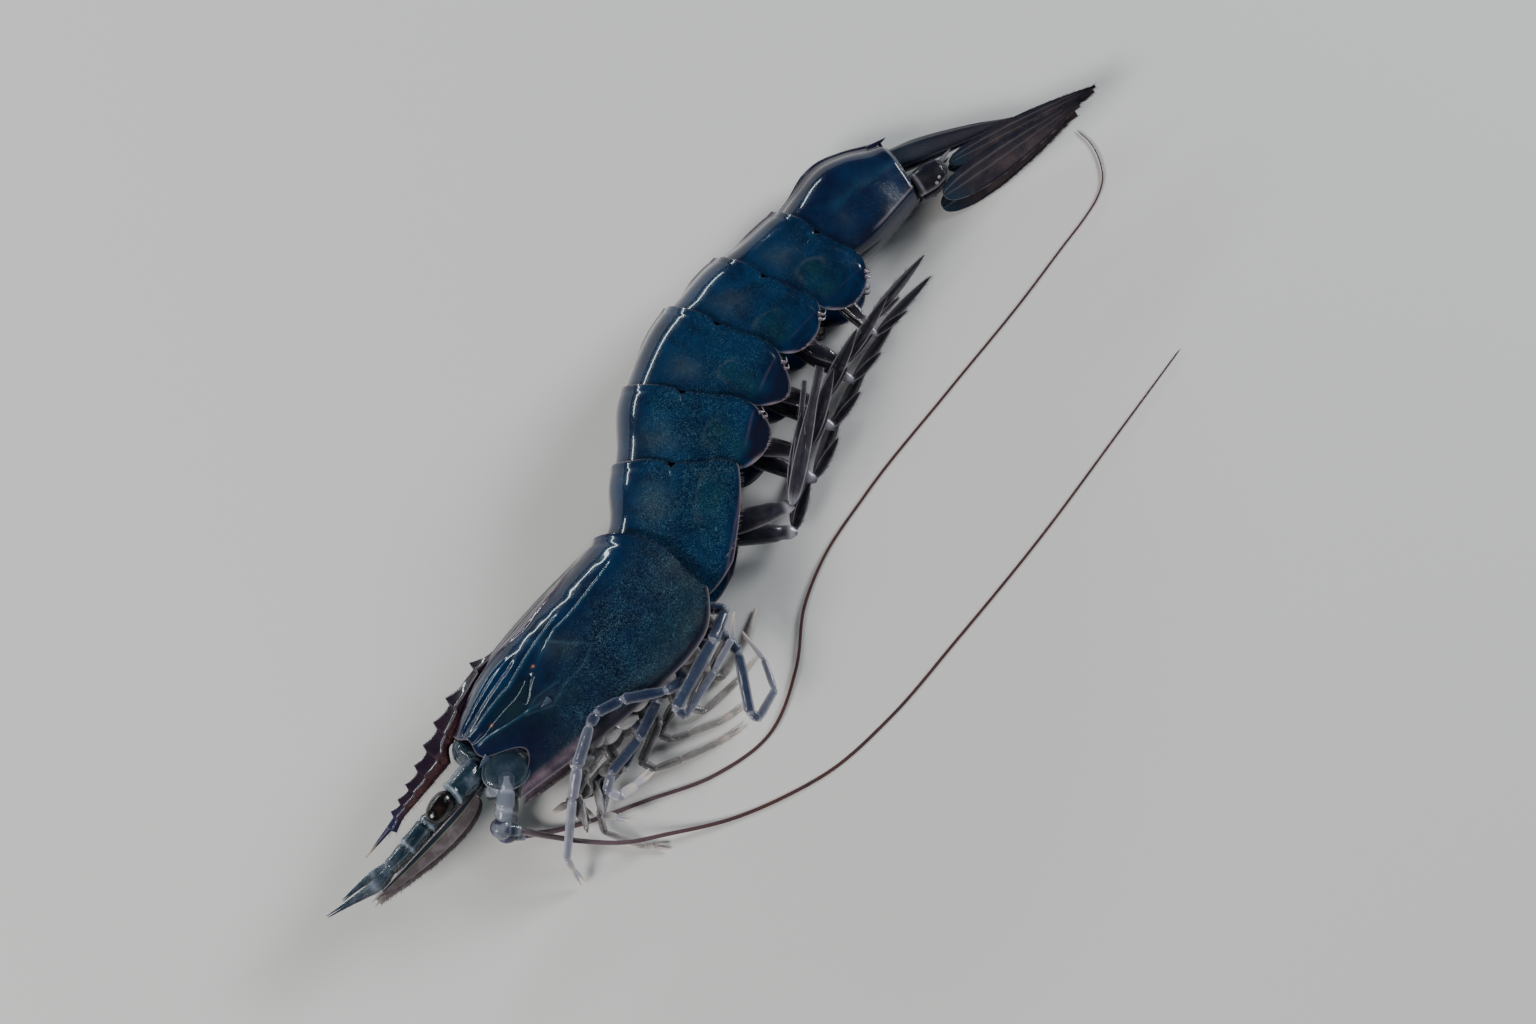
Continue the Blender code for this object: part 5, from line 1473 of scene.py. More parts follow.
@dataclass
class TailFan:
    """The pointed telson between the two folded pairs of tail blades."""

    telson_root: tuple = (-55.1, -23.3, 4.3)
    telson_tip: tuple = (-73.0, -15.5, 4.3)
    blades: tuple = (("exopod", (-55.4, -14.1, 3.1), (-80.9, -9.2, 2.2), 5.2, 0.62, 0.60, (0.35, 0.25), 2),
                     ("endopod", (-60.3, -17.4, 1.7), (-85.15, -9.2, 1.2), 3.8, 0.50, 0.65, (0.6, 0.10), 2))

    def build(self, finishes: Finishes) -> None:
        """Make the telson, the root joints and the four blades."""
        self.telson(finishes)
        for side in Side:
            self.root_joint(finishes, side)
            for kind, root, tip, width, thick, fullness, ends, ribs in self.blades:
                start, stop = (np.array((*p[:2], TAIL_MIDPLANE + side.sign * p[2])) for p in (root, tip))
                leaf = Leaf(start, stop, np.array((0.25, 1.0, side.sign * 0.12)), width, fullness, ends)
                self.blade(finishes, f"uropod_{kind}_{side.value}", leaf, thick, ribs)

    def telson(self, finishes: Finishes) -> None:
        """Make the telson: a keeled wedge, grooved along its back.

        Its half width falls as (1 - t)^0.8, its height over the axis as (1 - t^1.9)^1.3 and below
        it as 1 - t^3; its section is a superellipse.
        """
        root, tip = np.array(self.telson_root), np.array(self.telson_tip)
        run = unit(tip - root)
        across = np.array((0.0, 0.0, 1.0))
        up = np.cross(across, run)
        t, angle = np.linspace(0, 1, 120)[:, None], turns(72)[None, :]
        half = 2.6 * (1 - t) ** 0.8 + 0.06
        above, below = 2.75 * (1 - t**1.9) ** 1.3 + 0.05, 1.25 * (1 - t**3) + 0.05
        c, s = np.cos(angle), np.sin(angle)
        w = np.sign(c) * np.abs(c) ** 0.8
        trough = 0.35 * bell(w, 0.0, 0.16) - 0.22 * bell(np.abs(w), 0.40, 0.12)
        h = np.where(s > 0, above, below) * np.sign(s) * np.abs(s) ** 0.9
        h = h - np.where(s > 0, trough, 0.0) * np.minimum(above, 1.0) * ramp(0.0, 0.2, t)
        rings = (root + run * np.linalg.norm(tip - root) * t[..., None]
                 + across * (w * half)[..., None] + up * h[..., None])
        marks = {"teal": 0.35 * ramp(0.5, 0.0, t), "brown": 0.1,
                 "rib": 0.35 * bell(np.abs(w), 0.40, 0.08) * (s > 0),
                 "rim": bell(np.abs(w), 1.0, 0.10) * 0.4}
        skin = Skin().tube(seated(rings), marks)
        for place in (0.62, 0.74, 0.86):
            for sign in (1, -1):
                edge = root + (tip - root) * place + across * sign * (2.6 * (1 - place) ** 0.8 - 0.1)
                point = edge + run * 1.3 + across * sign * 0.3
                skin.tube(rod([(*edge, 0.16), (*point, 0.02)], 6, 8), {"brown": 1.0})
        skin.build("telson_wedge", finishes.blade, "tail", "telson")

    def root_joint(self, finishes: Finishes, side: Side) -> None:
        """The short joint that carries a pair of blades, with a milky hinge, folds and a spine."""
        z = TAIL_MIDPLANE + side.sign * 2.1
        rows, columns = 60, 48
        path = spread_path([(-53.9, -18.7, z, 1.9), (-56.6, -18.2, z, 2.2), (-59.6, -17.6, z, 1.5)],
                           rows)
        t = np.linspace(0, 1, rows)
        path[:, 3] *= closing(t, 1.02, 0.22)
        rings = uneven(sweep(path, columns, 0.70), 0.16, 1.5, 8, np.array((0.0, 0.0, side.sign)))
        edge = np.cos(turns(columns)) ** 10
        marks = {"milky": 0.55 * bell(t, 0.10, 0.04)[:, None] + 0.55 * edge,
                 "dark": np.clip(0.55 + 0.6 * ripple(rings, 1.1, 9), 0, 1) * (1 - 0.6 * edge)}
        skin = Skin().tube(seated(rings), marks)
        skin.tube(rod([(-58.8, -18.4, z, 0.5), (-60.6, -18.7, z, 0.3), (-62.0, -18.8, z, 0.03)],
                      10, 12), {"milky": 0.5})
        for x, y in ((-56.2, -16.4), (-57.1, -16.8)):
            drop = [(x, y, z + side.sign * out, radius)
                    for out, radius in ((1.0, 0.05), (1.25, 0.30), (1.5, 0.04))]
            skin.tube(rod(drop, 9, 12), {"milky": 0.6})
        skin.build(f"uropod_joint_{side.value}", finishes.fin, "tail", f"uropod_base_{side.value}")

    @staticmethod
    def blade(finishes: Finishes, name: str, leaf: Leaf, thick: float, ribs: int) -> None:
        """Make a blade with lengthwise ribs that die out near the tip, and its fringe.

        Across it s is -1 to 1: the thickness falls with s^2, each rib is a bell of s and fine
        ridges are a cosine of it.

        Args:
            finishes: The materials.
            name: The CAD node.
            leaf: The blade's middle surface.
            thick: Its thickness at the root.
            ribs: How many ribs it has.
        """
        normal = leaf.axes[2]
        t, s = sheet(170, 71)
        rib = sum(bell(s, k, 0.07) for k in np.linspace(-0.45, 0.10, ribs)) * ramp(1.0, 0.8, t)
        fine = wave(s, 11)
        lens = 0.5 * thick * (1 - 0.35 * t) * (0.30 + 0.55 * (1 - s**2))
        flat = np.stack(np.broadcast_arrays(t * 30, s * 4, 0.0), axis=-1)
        ragged = 0.05 * ripple(flat, 1.5, 31)
        place = leaf.place(t, s)
        upper = lens + 0.34 * thick * rib + 0.04 * fine * ramp(0.05, 0.3, t) + ragged
        outer = place + normal * upper[..., None]
        inner = place - normal * (lens + 0.15 * thick * rib)[..., None]
        marks = {"teal": 0.8 * ramp(0.20, 0.0, t),
                 "brown": (0.45 + 0.55 * ramp(-0.5, 0.5, s)) * ramp(0.02, 0.3, t)
                 * ramp(1.25, 0.9, np.abs(s)),
                 "rib": rib + 0.18 * fine, "rim": bell(s, -1.0, 0.05) * ramp(0.1, 0.3, t),
                 "dark": ramp(0.80, 0.97, s) * ramp(0.1, 0.3, t) + 0.7 * ramp(-0.55, -0.9, s)}
        Skin().wall(outer, inner, marks).build(f"{name}_leaf", finishes.blade, "tail", name)
        hairs = leaf.fringe(100 + len(name), 620, 0.25, (0.5, 1.1), (0.15, 0.4))
        Skin().hairs(*hairs, 0.030, 0.04).build(f"{name}_fringe", finishes.hair, "tail")


@dataclass
class HeadLimbs:
    """Eyes, first feelers, scales and the roots of the second feelers."""

    eyestalk: tuple = ((58.0, -5.2, 11.8, 1.5), (59.6, -4.9, 12.8, 1.95), (61.6, -4.6, 13.3, 2.05),
                       (64.2, -4.65, 13.85, 1.80))
    cornea: tuple = ((63.9, -5.1, 14.0, 0.0), (69.1, -4.0, 14.4, 0.0))
    cornea_radius: float = 1.72
    stem: tuple = ((58.9, -3.4, 10.0, 1.0), (69.8, -4.8, 10.3, 1.40), (74.2, -4.5, 10.3, 1.30),
                   (78.4, -4.5, 10.1, 0.95))
    outer_whip: tuple = ((77.9, -4.2, 10.2, 0.60), (80.6, -4.1, 10.4, 0.85),
                         (83.4, -4.7, 10.3, 0.50), (86.0, -5.4, 10.0, 0.26),
                         (89.4, -6.3, 9.6, 0.06))
    inner_whip: tuple = ((77.9, -5.0, 9.8, 0.50), (80.4, -5.6, 9.7, 0.55), (83.0, -6.0, 9.5, 0.30),
                         (86.2, -6.3, 9.4, 0.05))
    leaf: tuple = ((60.95, -1.4, 11.75, 0.0), (82.6, -1.2, 10.6, 0.0))
    leaf_width: float = 3.1

    def build(self, finishes: Finishes) -> None:
        """Make every limb of the head on both sides."""
        self.brow(finishes)
        for side in Side:
            self.eye(finishes, side)
            self.antennule(finishes, side)
            self.scale(finishes, side)

    def brow(self, finishes: Finishes) -> None:
        """The plate between the eyestalks under the head spike: a lumpy ellipsoid across the head."""
        angle, around = np.linspace(0.05, np.pi - 0.05, 60)[:, None], turns(56)[None, :]
        width = np.sin(angle) ** 0.7
        rings = uneven(np.stack(np.broadcast_arrays(
            57.7 + 2.0 * width * np.cos(around), -7.6 + 2.9 * width * np.sin(around),
            MIDPLANE - 4.5 * np.cos(angle)), axis=-1), 0.25, 1.8, 55)
        marks = {"milky": 0.6 * bell(np.cos(around - 2.2), 1.0, 0.06),
                 "dark": 0.6 * ramp(-0.3, 0.4, ripple(rings, 1.2, 56))}
        Skin().tube(rings, marks).build("brow_plate", finishes.stalk, "stalk")

    def eye(self, finishes: Finishes, side: Side) -> None:
        """The stalk, widening to a rolled cup, and the oval cornea that fills it.

        The cornea's radius goes with sin(angle)^0.86 along its length, a little squared off.
        """
        rows, columns = 56, 48
        path = spread_path(side.place(self.eyestalk), rows)
        t = np.linspace(0, 1, rows)
        path[:, 3] *= (1 + 0.10 * bell(t, 0.93, 0.05) - 0.07 * bell(t, 0.78, 0.08)
                       - 0.06 * bell(t, 0.25, 0.1)) * closing(t, 1.005, 0.05)
        around = np.cos(turns(columns) + 0.6)
        t = t[:, None]
        # In milky, the narrow band from around, on the side turned up and towards -y, is a painted
        # highlight; dark paints the opposite side darker as shade.
        marks = {"milky": 0.85 * bell(t, 0.93, 0.03) + 0.35 * bell(t, 0.05, 0.08) + 0.65 * around**14,
                 "dark": 0.65 * bell(t, 0.5, 0.25) * np.maximum(-around, 0)}
        Skin().tube(uneven(sweep(path, columns), 0.07, 1.0, 51), marks).build(
            f"eyestalk_cup_{side.value}", finishes.stalk, "stalk", f"eyestalk_{side.value}")
        path[:, 3] *= 0.60
        Skin().tube(sweep(path[3:-8], 20)).build(
            f"eyestalk_core_{side.value}", finishes.core, "stalk")
        start, stop = side.place(self.cornea)
        angle = np.linspace(0.02, np.pi - 0.02, 48)
        ball = start + (stop - start) * ((1 - np.cos(angle)) / 2)[:, None]
        ball[:, 3] = self.cornea_radius * np.sin(angle) ** 0.86
        Skin().tube(sweep(ball, 56)).build(
            f"eye_cornea_{side.value}", finishes.cornea, "eye", f"eye_{side.value}")

    def antennule(self, finishes: Finishes, side: Side) -> None:
        """The three-jointed stem with its inner flap, and two short ringed whips."""
        stem = side.place(self.stem)
        skin, core = Skin(), Skin()
        rows, columns = 140, 40
        path = spread_path(stem, rows)
        t = np.linspace(0, 1, rows)
        waist = bell(t, 0.56, 0.012) + bell(t, 0.785, 0.012)
        collar = bell(t, 0.53, 0.02) + bell(t, 0.755, 0.02)
        path[:, 3] *= (1 - 0.16 * waist + 0.09 * collar)
        path[:, 3] *= closing(1 - np.minimum(t, 1 - t), 1.0012, 0.04)
        rings = uneven(sweep(path, columns, 0.86), 0.10, 0.9, 52)
        ridge = bell(np.abs(np.sin(turns(columns))), 0.75, 0.10)
        rims = (bell(t, 0.535, 0.012) + bell(t, 0.76, 0.012))[:, None]
        skin.tube(rings, {"milky": 0.7 * rims + 0.55 * ridge,
                          "dark": 0.5 * np.maximum(0.0, ripple(rings, 2.0, 53))})
        path[:, 3] *= 0.55
        core.tube(sweep(path[4:-4], 18))
        for joints, rows in ((self.outer_whip, 110), (self.inner_whip, 80)):
            path = spread_path(side.place(joints), rows)
            path[:, 3] = np.maximum(path[:, 3], 0.03) * (0.94 + 0.12 * wave(np.arange(rows), 0.5))
            t = np.linspace(0, 1, rows)[:, None]
            skin.tube(sweep(path, 18, 0.55), {
                "milky": 0.15 + 0.5 * bell(t, 0.30, 0.06),
                "dark": 0.35 * bell(t, 0.15, 0.1) + 0.5 * ramp(0.4, 0.7, t)})
        name = f"antennule_{side.value}"
        skin.build(f"{name}_stem", finishes.stalk, "stalk", name)
        core.build(f"{name}_core", finishes.core, "stalk")
        rng = np.random.default_rng(12)
        count, rows = 260, 80
        pick = spread_path(stem, rows)[(rng.uniform(0, 1, count) * (rows - 1)).astype(int)]
        spin = rng.uniform(0, 2 * np.pi, count)
        out = np.stack([0 * spin, np.cos(spin), np.sin(spin)], axis=-1)
        Skin().hairs(pick[:, :3] + out * pick[:, 3:] * 0.8, out * 0.5 + (1.0, 0.0, 0.0),
                     rng.uniform(0.4, 1.2, count), 0.018, 0.1).build(
                         f"{name}_bristles", finishes.fine, "stalk")

    def scale(self, finishes: Finishes, side: Side) -> None:
        """The leaf-like scale: a stiff outer edge that ends in a spine, and a ribbed soft leaf.

        Across it s runs from the stiff edge to the soft one; the stiff edge is a round rib.
        """
        start, stop = side.place(self.leaf)[:, :3]
        leaf = Leaf(start, stop, np.array((0.05, 1.0, -0.5 * side.sign)), self.leaf_width, 0.6,
                    (0.45, 0.16), 1.0)
        run, _, normal = leaf.axes
        normal = normal * side.sign
        t, s = sheet(150, 65)
        edge = bell(s, -0.93, 0.08)
        rib = bell(s, -0.36, 0.05) * ramp(0.98, 0.8, t)
        fine = wave(s, 8)
        lens = 0.33 * (1 - 0.35 * t) * (0.30 + 0.6 * (1 - s**2))
        height = lens + 0.22 * edge + 0.16 * rib + 0.03 * fine * ramp(-0.3, 0.0, s)
        place = leaf.place(t, s)
        outer = place + normal * height[..., None]
        inner = place - normal * (lens + 0.15 * edge)[..., None]
        marks = {"dark": ramp(-0.94, -0.86, s) * ramp(-0.38, -0.50, s) * ramp(1.02, 0.9, t),
                 "milky": 0.7 * bell(s, -0.98, 0.03) + 0.45 * bell(s, 0.97, 0.06)
                 + 0.12 * fine * ramp(-0.3, 0.0, s),
                 "line": rib, "tip": 0.25 * ramp(0.95, 1.0, t)}
        skin = Skin().wall(outer, inner, marks)
        at = leaf.place(np.array([0.93]), np.array([-0.85]))[0]
        spine = [(*(at + run * far), radius) for far, radius in ((0.0, 0.28), (1.4, 0.16), (2.4, 0.02))]
        skin.tube(rod(spine, 10, 10), {"dark": 0.6, "tip": 0.4})
        name = f"antennal_scale_{side.value}"
        skin.build(f"{name}_leaf", finishes.scale, "scale", name)
        hairs = leaf.fringe(13, 420, 0.0, (0.4, 1.0), (0.3, 0.8))
        Skin().hairs(*hairs, 0.024, 0.05).build(f"{name}_fringe", finishes.hair, "scale")


@dataclass
class Antennae:
    """The second feelers: stout root joints, a knob and a long ringed whip on each side."""

    pillars: tuple = (
        ((55.8, -1.2, 13.7, 1.3), (57.9, 0.8, 13.2, 1.25), (59.7, 2.1, 12.7, 1.42),
         (61.8, 3.5, 11.6, 1.2)),
        ((55.8, -1.2, 3.5, 1.3), (57.9, 0.8, 4.0, 1.25), (59.6, 2.1, 3.8, 1.42),
         (61.4, 3.5, 3.2, 1.2)))
    bulbs: tuple = (((62.4, 3.9, 11.2, 1.65), (60.7, 6.1, 10.5, 0.85)),
                    ((62.0, 3.9, 2.8, 1.62), (60.3, 6.0, 2.2, 0.85)))
    link: tuple = ((59.7, -1.5, 10.4, 0.9), (58.9, -0.6, 12.0, 1.0), (57.6, 0.4, 12.9, 1.0))
    dome: tuple = ((55.5, -1.5, 13.6, 0.0),)
    whips: tuple = (
        ((60.9, 5.8, 10.6, 0.60), (57.9, 9.8, 6.4, 0.46), (54.8, 13.7, 3.9, 0.40),
         (50.8, 18.0, 2.9, 0.36), (45.8, 21.4, 1.5, 0.34), (37.2, 27.0, 0.5, 0.32),
         (28.4, 30.9, 0.44, 0.30), (21.5, 33.0, 0.43, 0.29), (9.8, 34.1, 0.41, 0.27),
         (-6.1, 33.5, 0.39, 0.25), (-26.7, 32.2, 0.36, 0.22), (-47.8, 29.9, 0.32, 0.18),
         (-63.8, 28.1, 0.22, 0.12)),
        ((60.4, 5.9, 2.2, 0.60), (57.4, 8.2, 1.1, 0.46), (53.6, 10.6, 0.55, 0.40),
         (44.0, 15.6, 0.5, 0.34), (34.0, 20.6, 0.48, 0.31), (24.0, 22.4, 0.47, 0.29),
         (13.5, 18.4, 0.46, 0.27), (5.7, 12.9, 0.45, 0.26), (-0.9, 10.2, 0.45, 0.25),
         (-13.6, 7.9, 0.43, 0.24), (-34.7, 6.2, 0.41, 0.22), (-53.1, 4.9, 0.38, 0.20),
         (-64.0, 3.7, 0.35, 0.18), (-69.7, 3.1, 0.34, 0.17), (-73.2, 2.4, 0.32, 0.16),
         (-76.1, 1.0, 0.30, 0.15), (-78.1, -1.4, 0.28, 0.14), (-79.2, -4.0, 0.25, 0.13),
         (-79.4, -7.4, 0.22, 0.12)))

    def build(self, finishes: Finishes) -> None:
        """Make the roots and whips of both sides; every table gives the left side first."""
        for side, pillar, bulb, whip in zip(Side, self.pillars, self.bulbs, self.whips):
            self.root(finishes, side, pillar, bulb)
            self.whip(finishes, side, whip)

    def root(self, finishes: Finishes, side: Side, pillar: tuple, bulb: tuple) -> None:
        """The smooth bent root, its dome before the shield's front edge, the knob and a dark inside.

        The dome is an ellipsoid; the root is a tube through its joints with two slight waists.
        """
        skin, core = Skin(), Skin()
        rows = 60
        t = np.linspace(0, 1, rows)
        hinges = (bell(t, 0.36, 0.05) + bell(t, 0.70, 0.05))[:, None]
        waists = bell(t, 0.36, 0.04) + bell(t, 0.70, 0.04)
        for joints, waist in ((np.array(pillar), 0.13), (side.place(self.link), 0.0)):
            path = spread_path(joints, rows)
            path[:, 3] *= closing(1 - np.minimum(t, 1 - t), 1.0024, 0.12) * (1 - waist * waists)
            skin.tube(uneven(sweep(path, 40), 0.05, 1.2, 17), {"milky": 0.55 + 0.35 * hinges})
            path[:, 3] *= 0.5
            core.tube(sweep(path[6:-6], 16))
        knob, neck = np.array(bulb)
        way = unit(neck[:3] - knob[:3]) * 1.05 * knob[3]
        angle = np.linspace(0.03, np.pi - 0.03, 44)[:, None]
        ball = np.concatenate([knob[:3] - way * np.cos(angle), knob[3] * np.sin(angle)], axis=1)
        rings = sweep(ball, 44)
        skin.tube(uneven(rings, 0.10, 1.2, 18),
                  {"milky": 0.45, "dark": 0.85 * ramp(0.05, 0.4, ripple(rings, 0.7, 19))})
        skin.tube(rod([(*knob[:3], 0.75 * knob[3]), neck], 30, 30),
                  {"milky": 0.55 * bell(t[:30, None], 0.45, 0.1), "dark": 0.2})
        out = np.array((0.0, 0.0, side.sign))
        theta, phi = turns(64)[None, :], np.linspace(0.02, np.pi - 0.02, 40)[:, None]
        middle = side.place(self.dome)[0, :3]
        wide = np.sin(phi) ** 0.9 * (1 + 0.05 * np.cos(3 * theta + 0.6))
        dome = middle + np.stack(np.broadcast_arrays(
            3.85 * wide * np.cos(theta), 3.5 * wide * np.sin(theta),
            1.25 * np.cos(phi) * side.sign), axis=-1)
        dome = uneven(dome, 0.10, 1.4, 15, out)
        folds = 0.95 * bell(phi, 1.38, 0.11) + 0.30 * bell(phi, 0.95, 0.05)
        skin.tube(dome, {"milky": folds * (0.75 + 0.25 * np.cos(theta * 2 - 1.0)),
                         "dark": 0.25 * ramp(0.8, 0.4, phi)})
        core.tube(middle + (dome - middle) * 0.45)
        name = f"antenna_base_{side.value}"
        skin.build(f"{name}_joints", finishes.base, "stalk", name)
        core.build(f"{name}_core", finishes.dim, "stalk")

    @staticmethod
    def whip(finishes: Finishes, side: Side, joints: tuple) -> None:
        """The long whip: a tapering tube whose radius swells a little at each of its rings."""
        rows, closed = 1500, 12
        path = spread_path(joints, rows)
        ring = wave(np.arange(rows), 0.25)
        path[:, 3] = np.maximum(path[:, 3], 0.08) * (0.95 + 0.05 * ring)
        path[:, 2] = np.maximum(path[:, 2], path[:, 3])
        path[-closed:, 3] *= np.sqrt(np.linspace(1, 0.02, closed))
        marks = {"run": np.linspace(0, 1, rows)[:, None], "ring": ring[:, None]}
        nodes = [f"antenna_{side.value}_{k}" for k in range(1, 5)]
        Skin().tube(sweep(path, 12), marks).build(
            f"antenna_whip_{side.value}", finishes.whip, "feeler", *nodes)


@dataclass(frozen=True)
class Leg:
    """One jointed leg.

    Attributes:
        node: The CAD node that it stands for.
        joints: x, y, z, radius of each joint.
        spread: Where the second finger's tip lies from the first, or none for a plain claw.
        blue: How deep the blue of its inside is.
        pale: How milky its last lengths are.
        rows: Rings on each of its lengths.
    """

    node: str
    joints: tuple
    spread: tuple | None = None
    blue: float = 0.35
    pale: float = 0.3
    rows: int = 34

    @property
    def deep(self) -> bool:
        """Whether its inside is the deep blue of the left legs."""
        return self.blue > 0.3

    def build(self, finishes: Finishes, seed: int) -> None:
        """Make the leg's lengths with collars and hinges, the blue core, the claw and bristles."""
        joints = np.array(self.joints)
        skin, core = Skin(), Skin()
        columns, last = 26, len(joints) - 2
        edge = np.cos(turns(columns)) ** 4
        for index, (before, after) in enumerate(zip(joints[:-1], joints[1:])):
            claw = index == last
            path = (self.palm(before, after) if claw and self.spread is not None
                    else joint_length(before, after, self.rows, 0.0 if claw else 0.07))
            t = np.linspace(0, 1, self.rows)[:, None]
            shade = float(ramp(0.35, 0.95, index / last))
            milky = 0.50 * bell(t, 0.97, 0.05) + 0.30 * bell(t, 0.02, 0.03) + self.pale * shade
            blue = self.blue * (1 - 0.8 * shade) * bell(t, 0.5, 0.5)
            skin.tube(uneven(sweep(path, columns, 0.82), 0.035, 1.0, seed),
                      {"milky": milky + 0.6 * edge, "dark": blue * (1 - edge),
                       "tip": ramp(0.15, 0.8, t) * 0.75 if claw else 0.0})
            if not claw:
                ball = after.copy()
                ball[:3] += unit(after[:3] - before[:3]) * after[3] * 0.1
                self.hinge(skin, ball)
                path[:, 3] *= 0.66 - 0.26 * shade - 0.3 * (not self.deep)
                core.tube(sweep(path[3:-3], 14, 0.8))
        if self.spread is not None:
            self.fingers(skin, joints[-2], joints[-1])
        cuticle, inside = ((finishes.leg, finishes.core) if self.deep
                           else (finishes.far, finishes.dim))
        skin.build(f"{self.node}_cuticle", cuticle, "leg", self.node)
        core.build(f"{self.node}_core", inside, "leg")
        self.bristles(finishes, joints, seed)

    def palm(self, before: Array, after: Array) -> Array:
        """The pincer's palm: a swollen length that ends where the fingers part."""
        end = before + (after - before) * 0.48
        end[3] = before[3] * 0.72
        path = joint_length(before, end, self.rows, 0.05)
        path[:, 3] *= 1.0 + 0.22 * bell(np.linspace(0, 1, self.rows), 0.55, 0.3)
        return path

    def fingers(self, skin: Skin, palm: Array, tip: Array) -> None:
        """The two slim fingers, each bowed away from the other and meeting near their tips."""
        grip = palm + (tip - palm) * 0.42
        grip[3] = palm[3] * 0.62
        offset, rows = np.array(self.spread), 24
        shine = (0.25 + 1.4 * self.pale) * ramp(0.2, 0.9, np.linspace(0, 1, rows)[:, None])
        for end, bow, seat in ((tip[:3], -0.12, -0.05), (tip[:3] + offset, 0.12, 0.20)):
            middle, start = (grip[:3] + end) / 2 + offset * bow, grip[:3] + offset * seat
            joints = [(*start, grip[3]), (*middle, grip[3] * 0.80), (*end, 0.10)]
            skin.tube(rod(joints, rows, 16), {"milky": 0.3 + self.pale, "tip": shine})

    @staticmethod
    def hinge(skin: Skin, ball: Array) -> None:
        """A milky ball of joint skin: a sphere of seven tenths of the joint's radius."""
        angle, radius = np.linspace(0.06, np.pi - 0.06, 14), 0.7 * ball[3]
        path = np.tile(ball, (len(angle), 1))
        path[:, 2] -= np.cos(angle) * radius
        path[:, 3] = np.sin(angle) * radius
        skin.tube(sweep(path, 18), {"milky": 0.45})

    def bristles(self, finishes: Finishes, joints: Array, seed: int) -> None:
        """Sparse bristles that lean towards the leg's end."""
        rng = np.random.default_rng(200 + seed)
        count = 170
        which = rng.integers(0, len(joints) - 1, count)
        t = rng.uniform(0.1, 0.95, count)[:, None]
        place = joints[which] + (joints[which + 1] - joints[which]) * t
        run = unit(joints[which + 1, :3] - joints[which, :3])
        out = unit(np.cross(run, rng.normal(0, 1, (count, 3))))
        roots = place[:, :3] + out * place[:, 3:] * 0.72
        Skin().hairs(roots, out * 0.7 + run, rng.uniform(0.3, 0.9, count), 0.016, 0.08).build(
            f"{self.node}_bristles", finishes.fine, "leg")


@dataclass
class MouthParts:
    """Thin plates between the front legs: each row is a root, a tip, a width and a shine."""

    plates: tuple = (
        (44.8, 3.9, 12.2, 41.2, 4.9, 12.4, 3.6, 0.3), (48.6, 4.6, 11.4, 45.4, 6.9, 11.8, 2.6, 0.2),
        (43.4, 5.4, 12.0, 39.6, 6.9, 12.2, 2.2, 0.5), (50.4, 6.8, 9.6, 49.2, 10.0, 7.4, 2.4, 0.2),
        (52.2, 8.4, 8.4, 52.6, 12.6, 7.0, 1.8, 0.1), (50.8, 9.0, 8.2, 53.9, 13.2, 6.6, 1.5, 0.1),
        (47.6, 9.0, 8.6, 50.6, 13.4, 7.4, 1.6, 0.2), (46.2, 8.4, 9.4, 43.2, 11.0, 8.2, 2.0, 0.4),
        (36.6, 4.2, 12.2, 33.0, 6.6, 12.6, 3.2, 0.5), (39.6, 4.6, 12.0, 36.4, 7.4, 12.0, 3.0, 0.5),
        (31.6, 4.8, 12.6, 28.2, 7.4, 12.4, 3.0, 0.4), (26.6, 5.0, 12.2, 23.2, 7.2, 11.6, 2.6, 0.4))

    def build(self, finishes: Finishes) -> None:
        """Make the plates of both sides, those on the right as a mirror of the left.

        A plate is dished with the square of s and thickest in its middle.
        """
        skin = Skin()
        t, s = sheet(34, 19)
        lens = (0.10 + 0.30 * (1 - s**2) * np.sin(np.pi * t) ** 0.5)[..., None]
        for side in Side:
            for *places, width, shine in self.plates:
                ends = side.place(np.reshape(places, (2, 3)))
                ends[:, 2] = np.maximum(ends[:, 2], 1.2)
                leaf = Leaf(*ends, np.array((0.75, 0.55, 0.25 * side.sign)), 1.2 * width, 0.9,
                            (0.5, 0.25))
                normal = leaf.axes[2] * side.sign
                place = leaf.place(t, s) - normal * (0.10 * width * s**2)[..., None]
                place = place + normal * 0.12 * ripple(leaf.place(t, s), 1.1, 71)[..., None]
                marks = {"milky": 0.7 * bell(np.abs(s), 1.0, 0.12) + 0.2 + shine,
                         "dark": 0.5 * ramp(0.1, 0.5, ripple(place, 1.3, 72))}
                skin.wall(place + normal * lens, place - normal * lens, marks)
        skin.build("mouth_plates", finishes.mouth, "thorax")


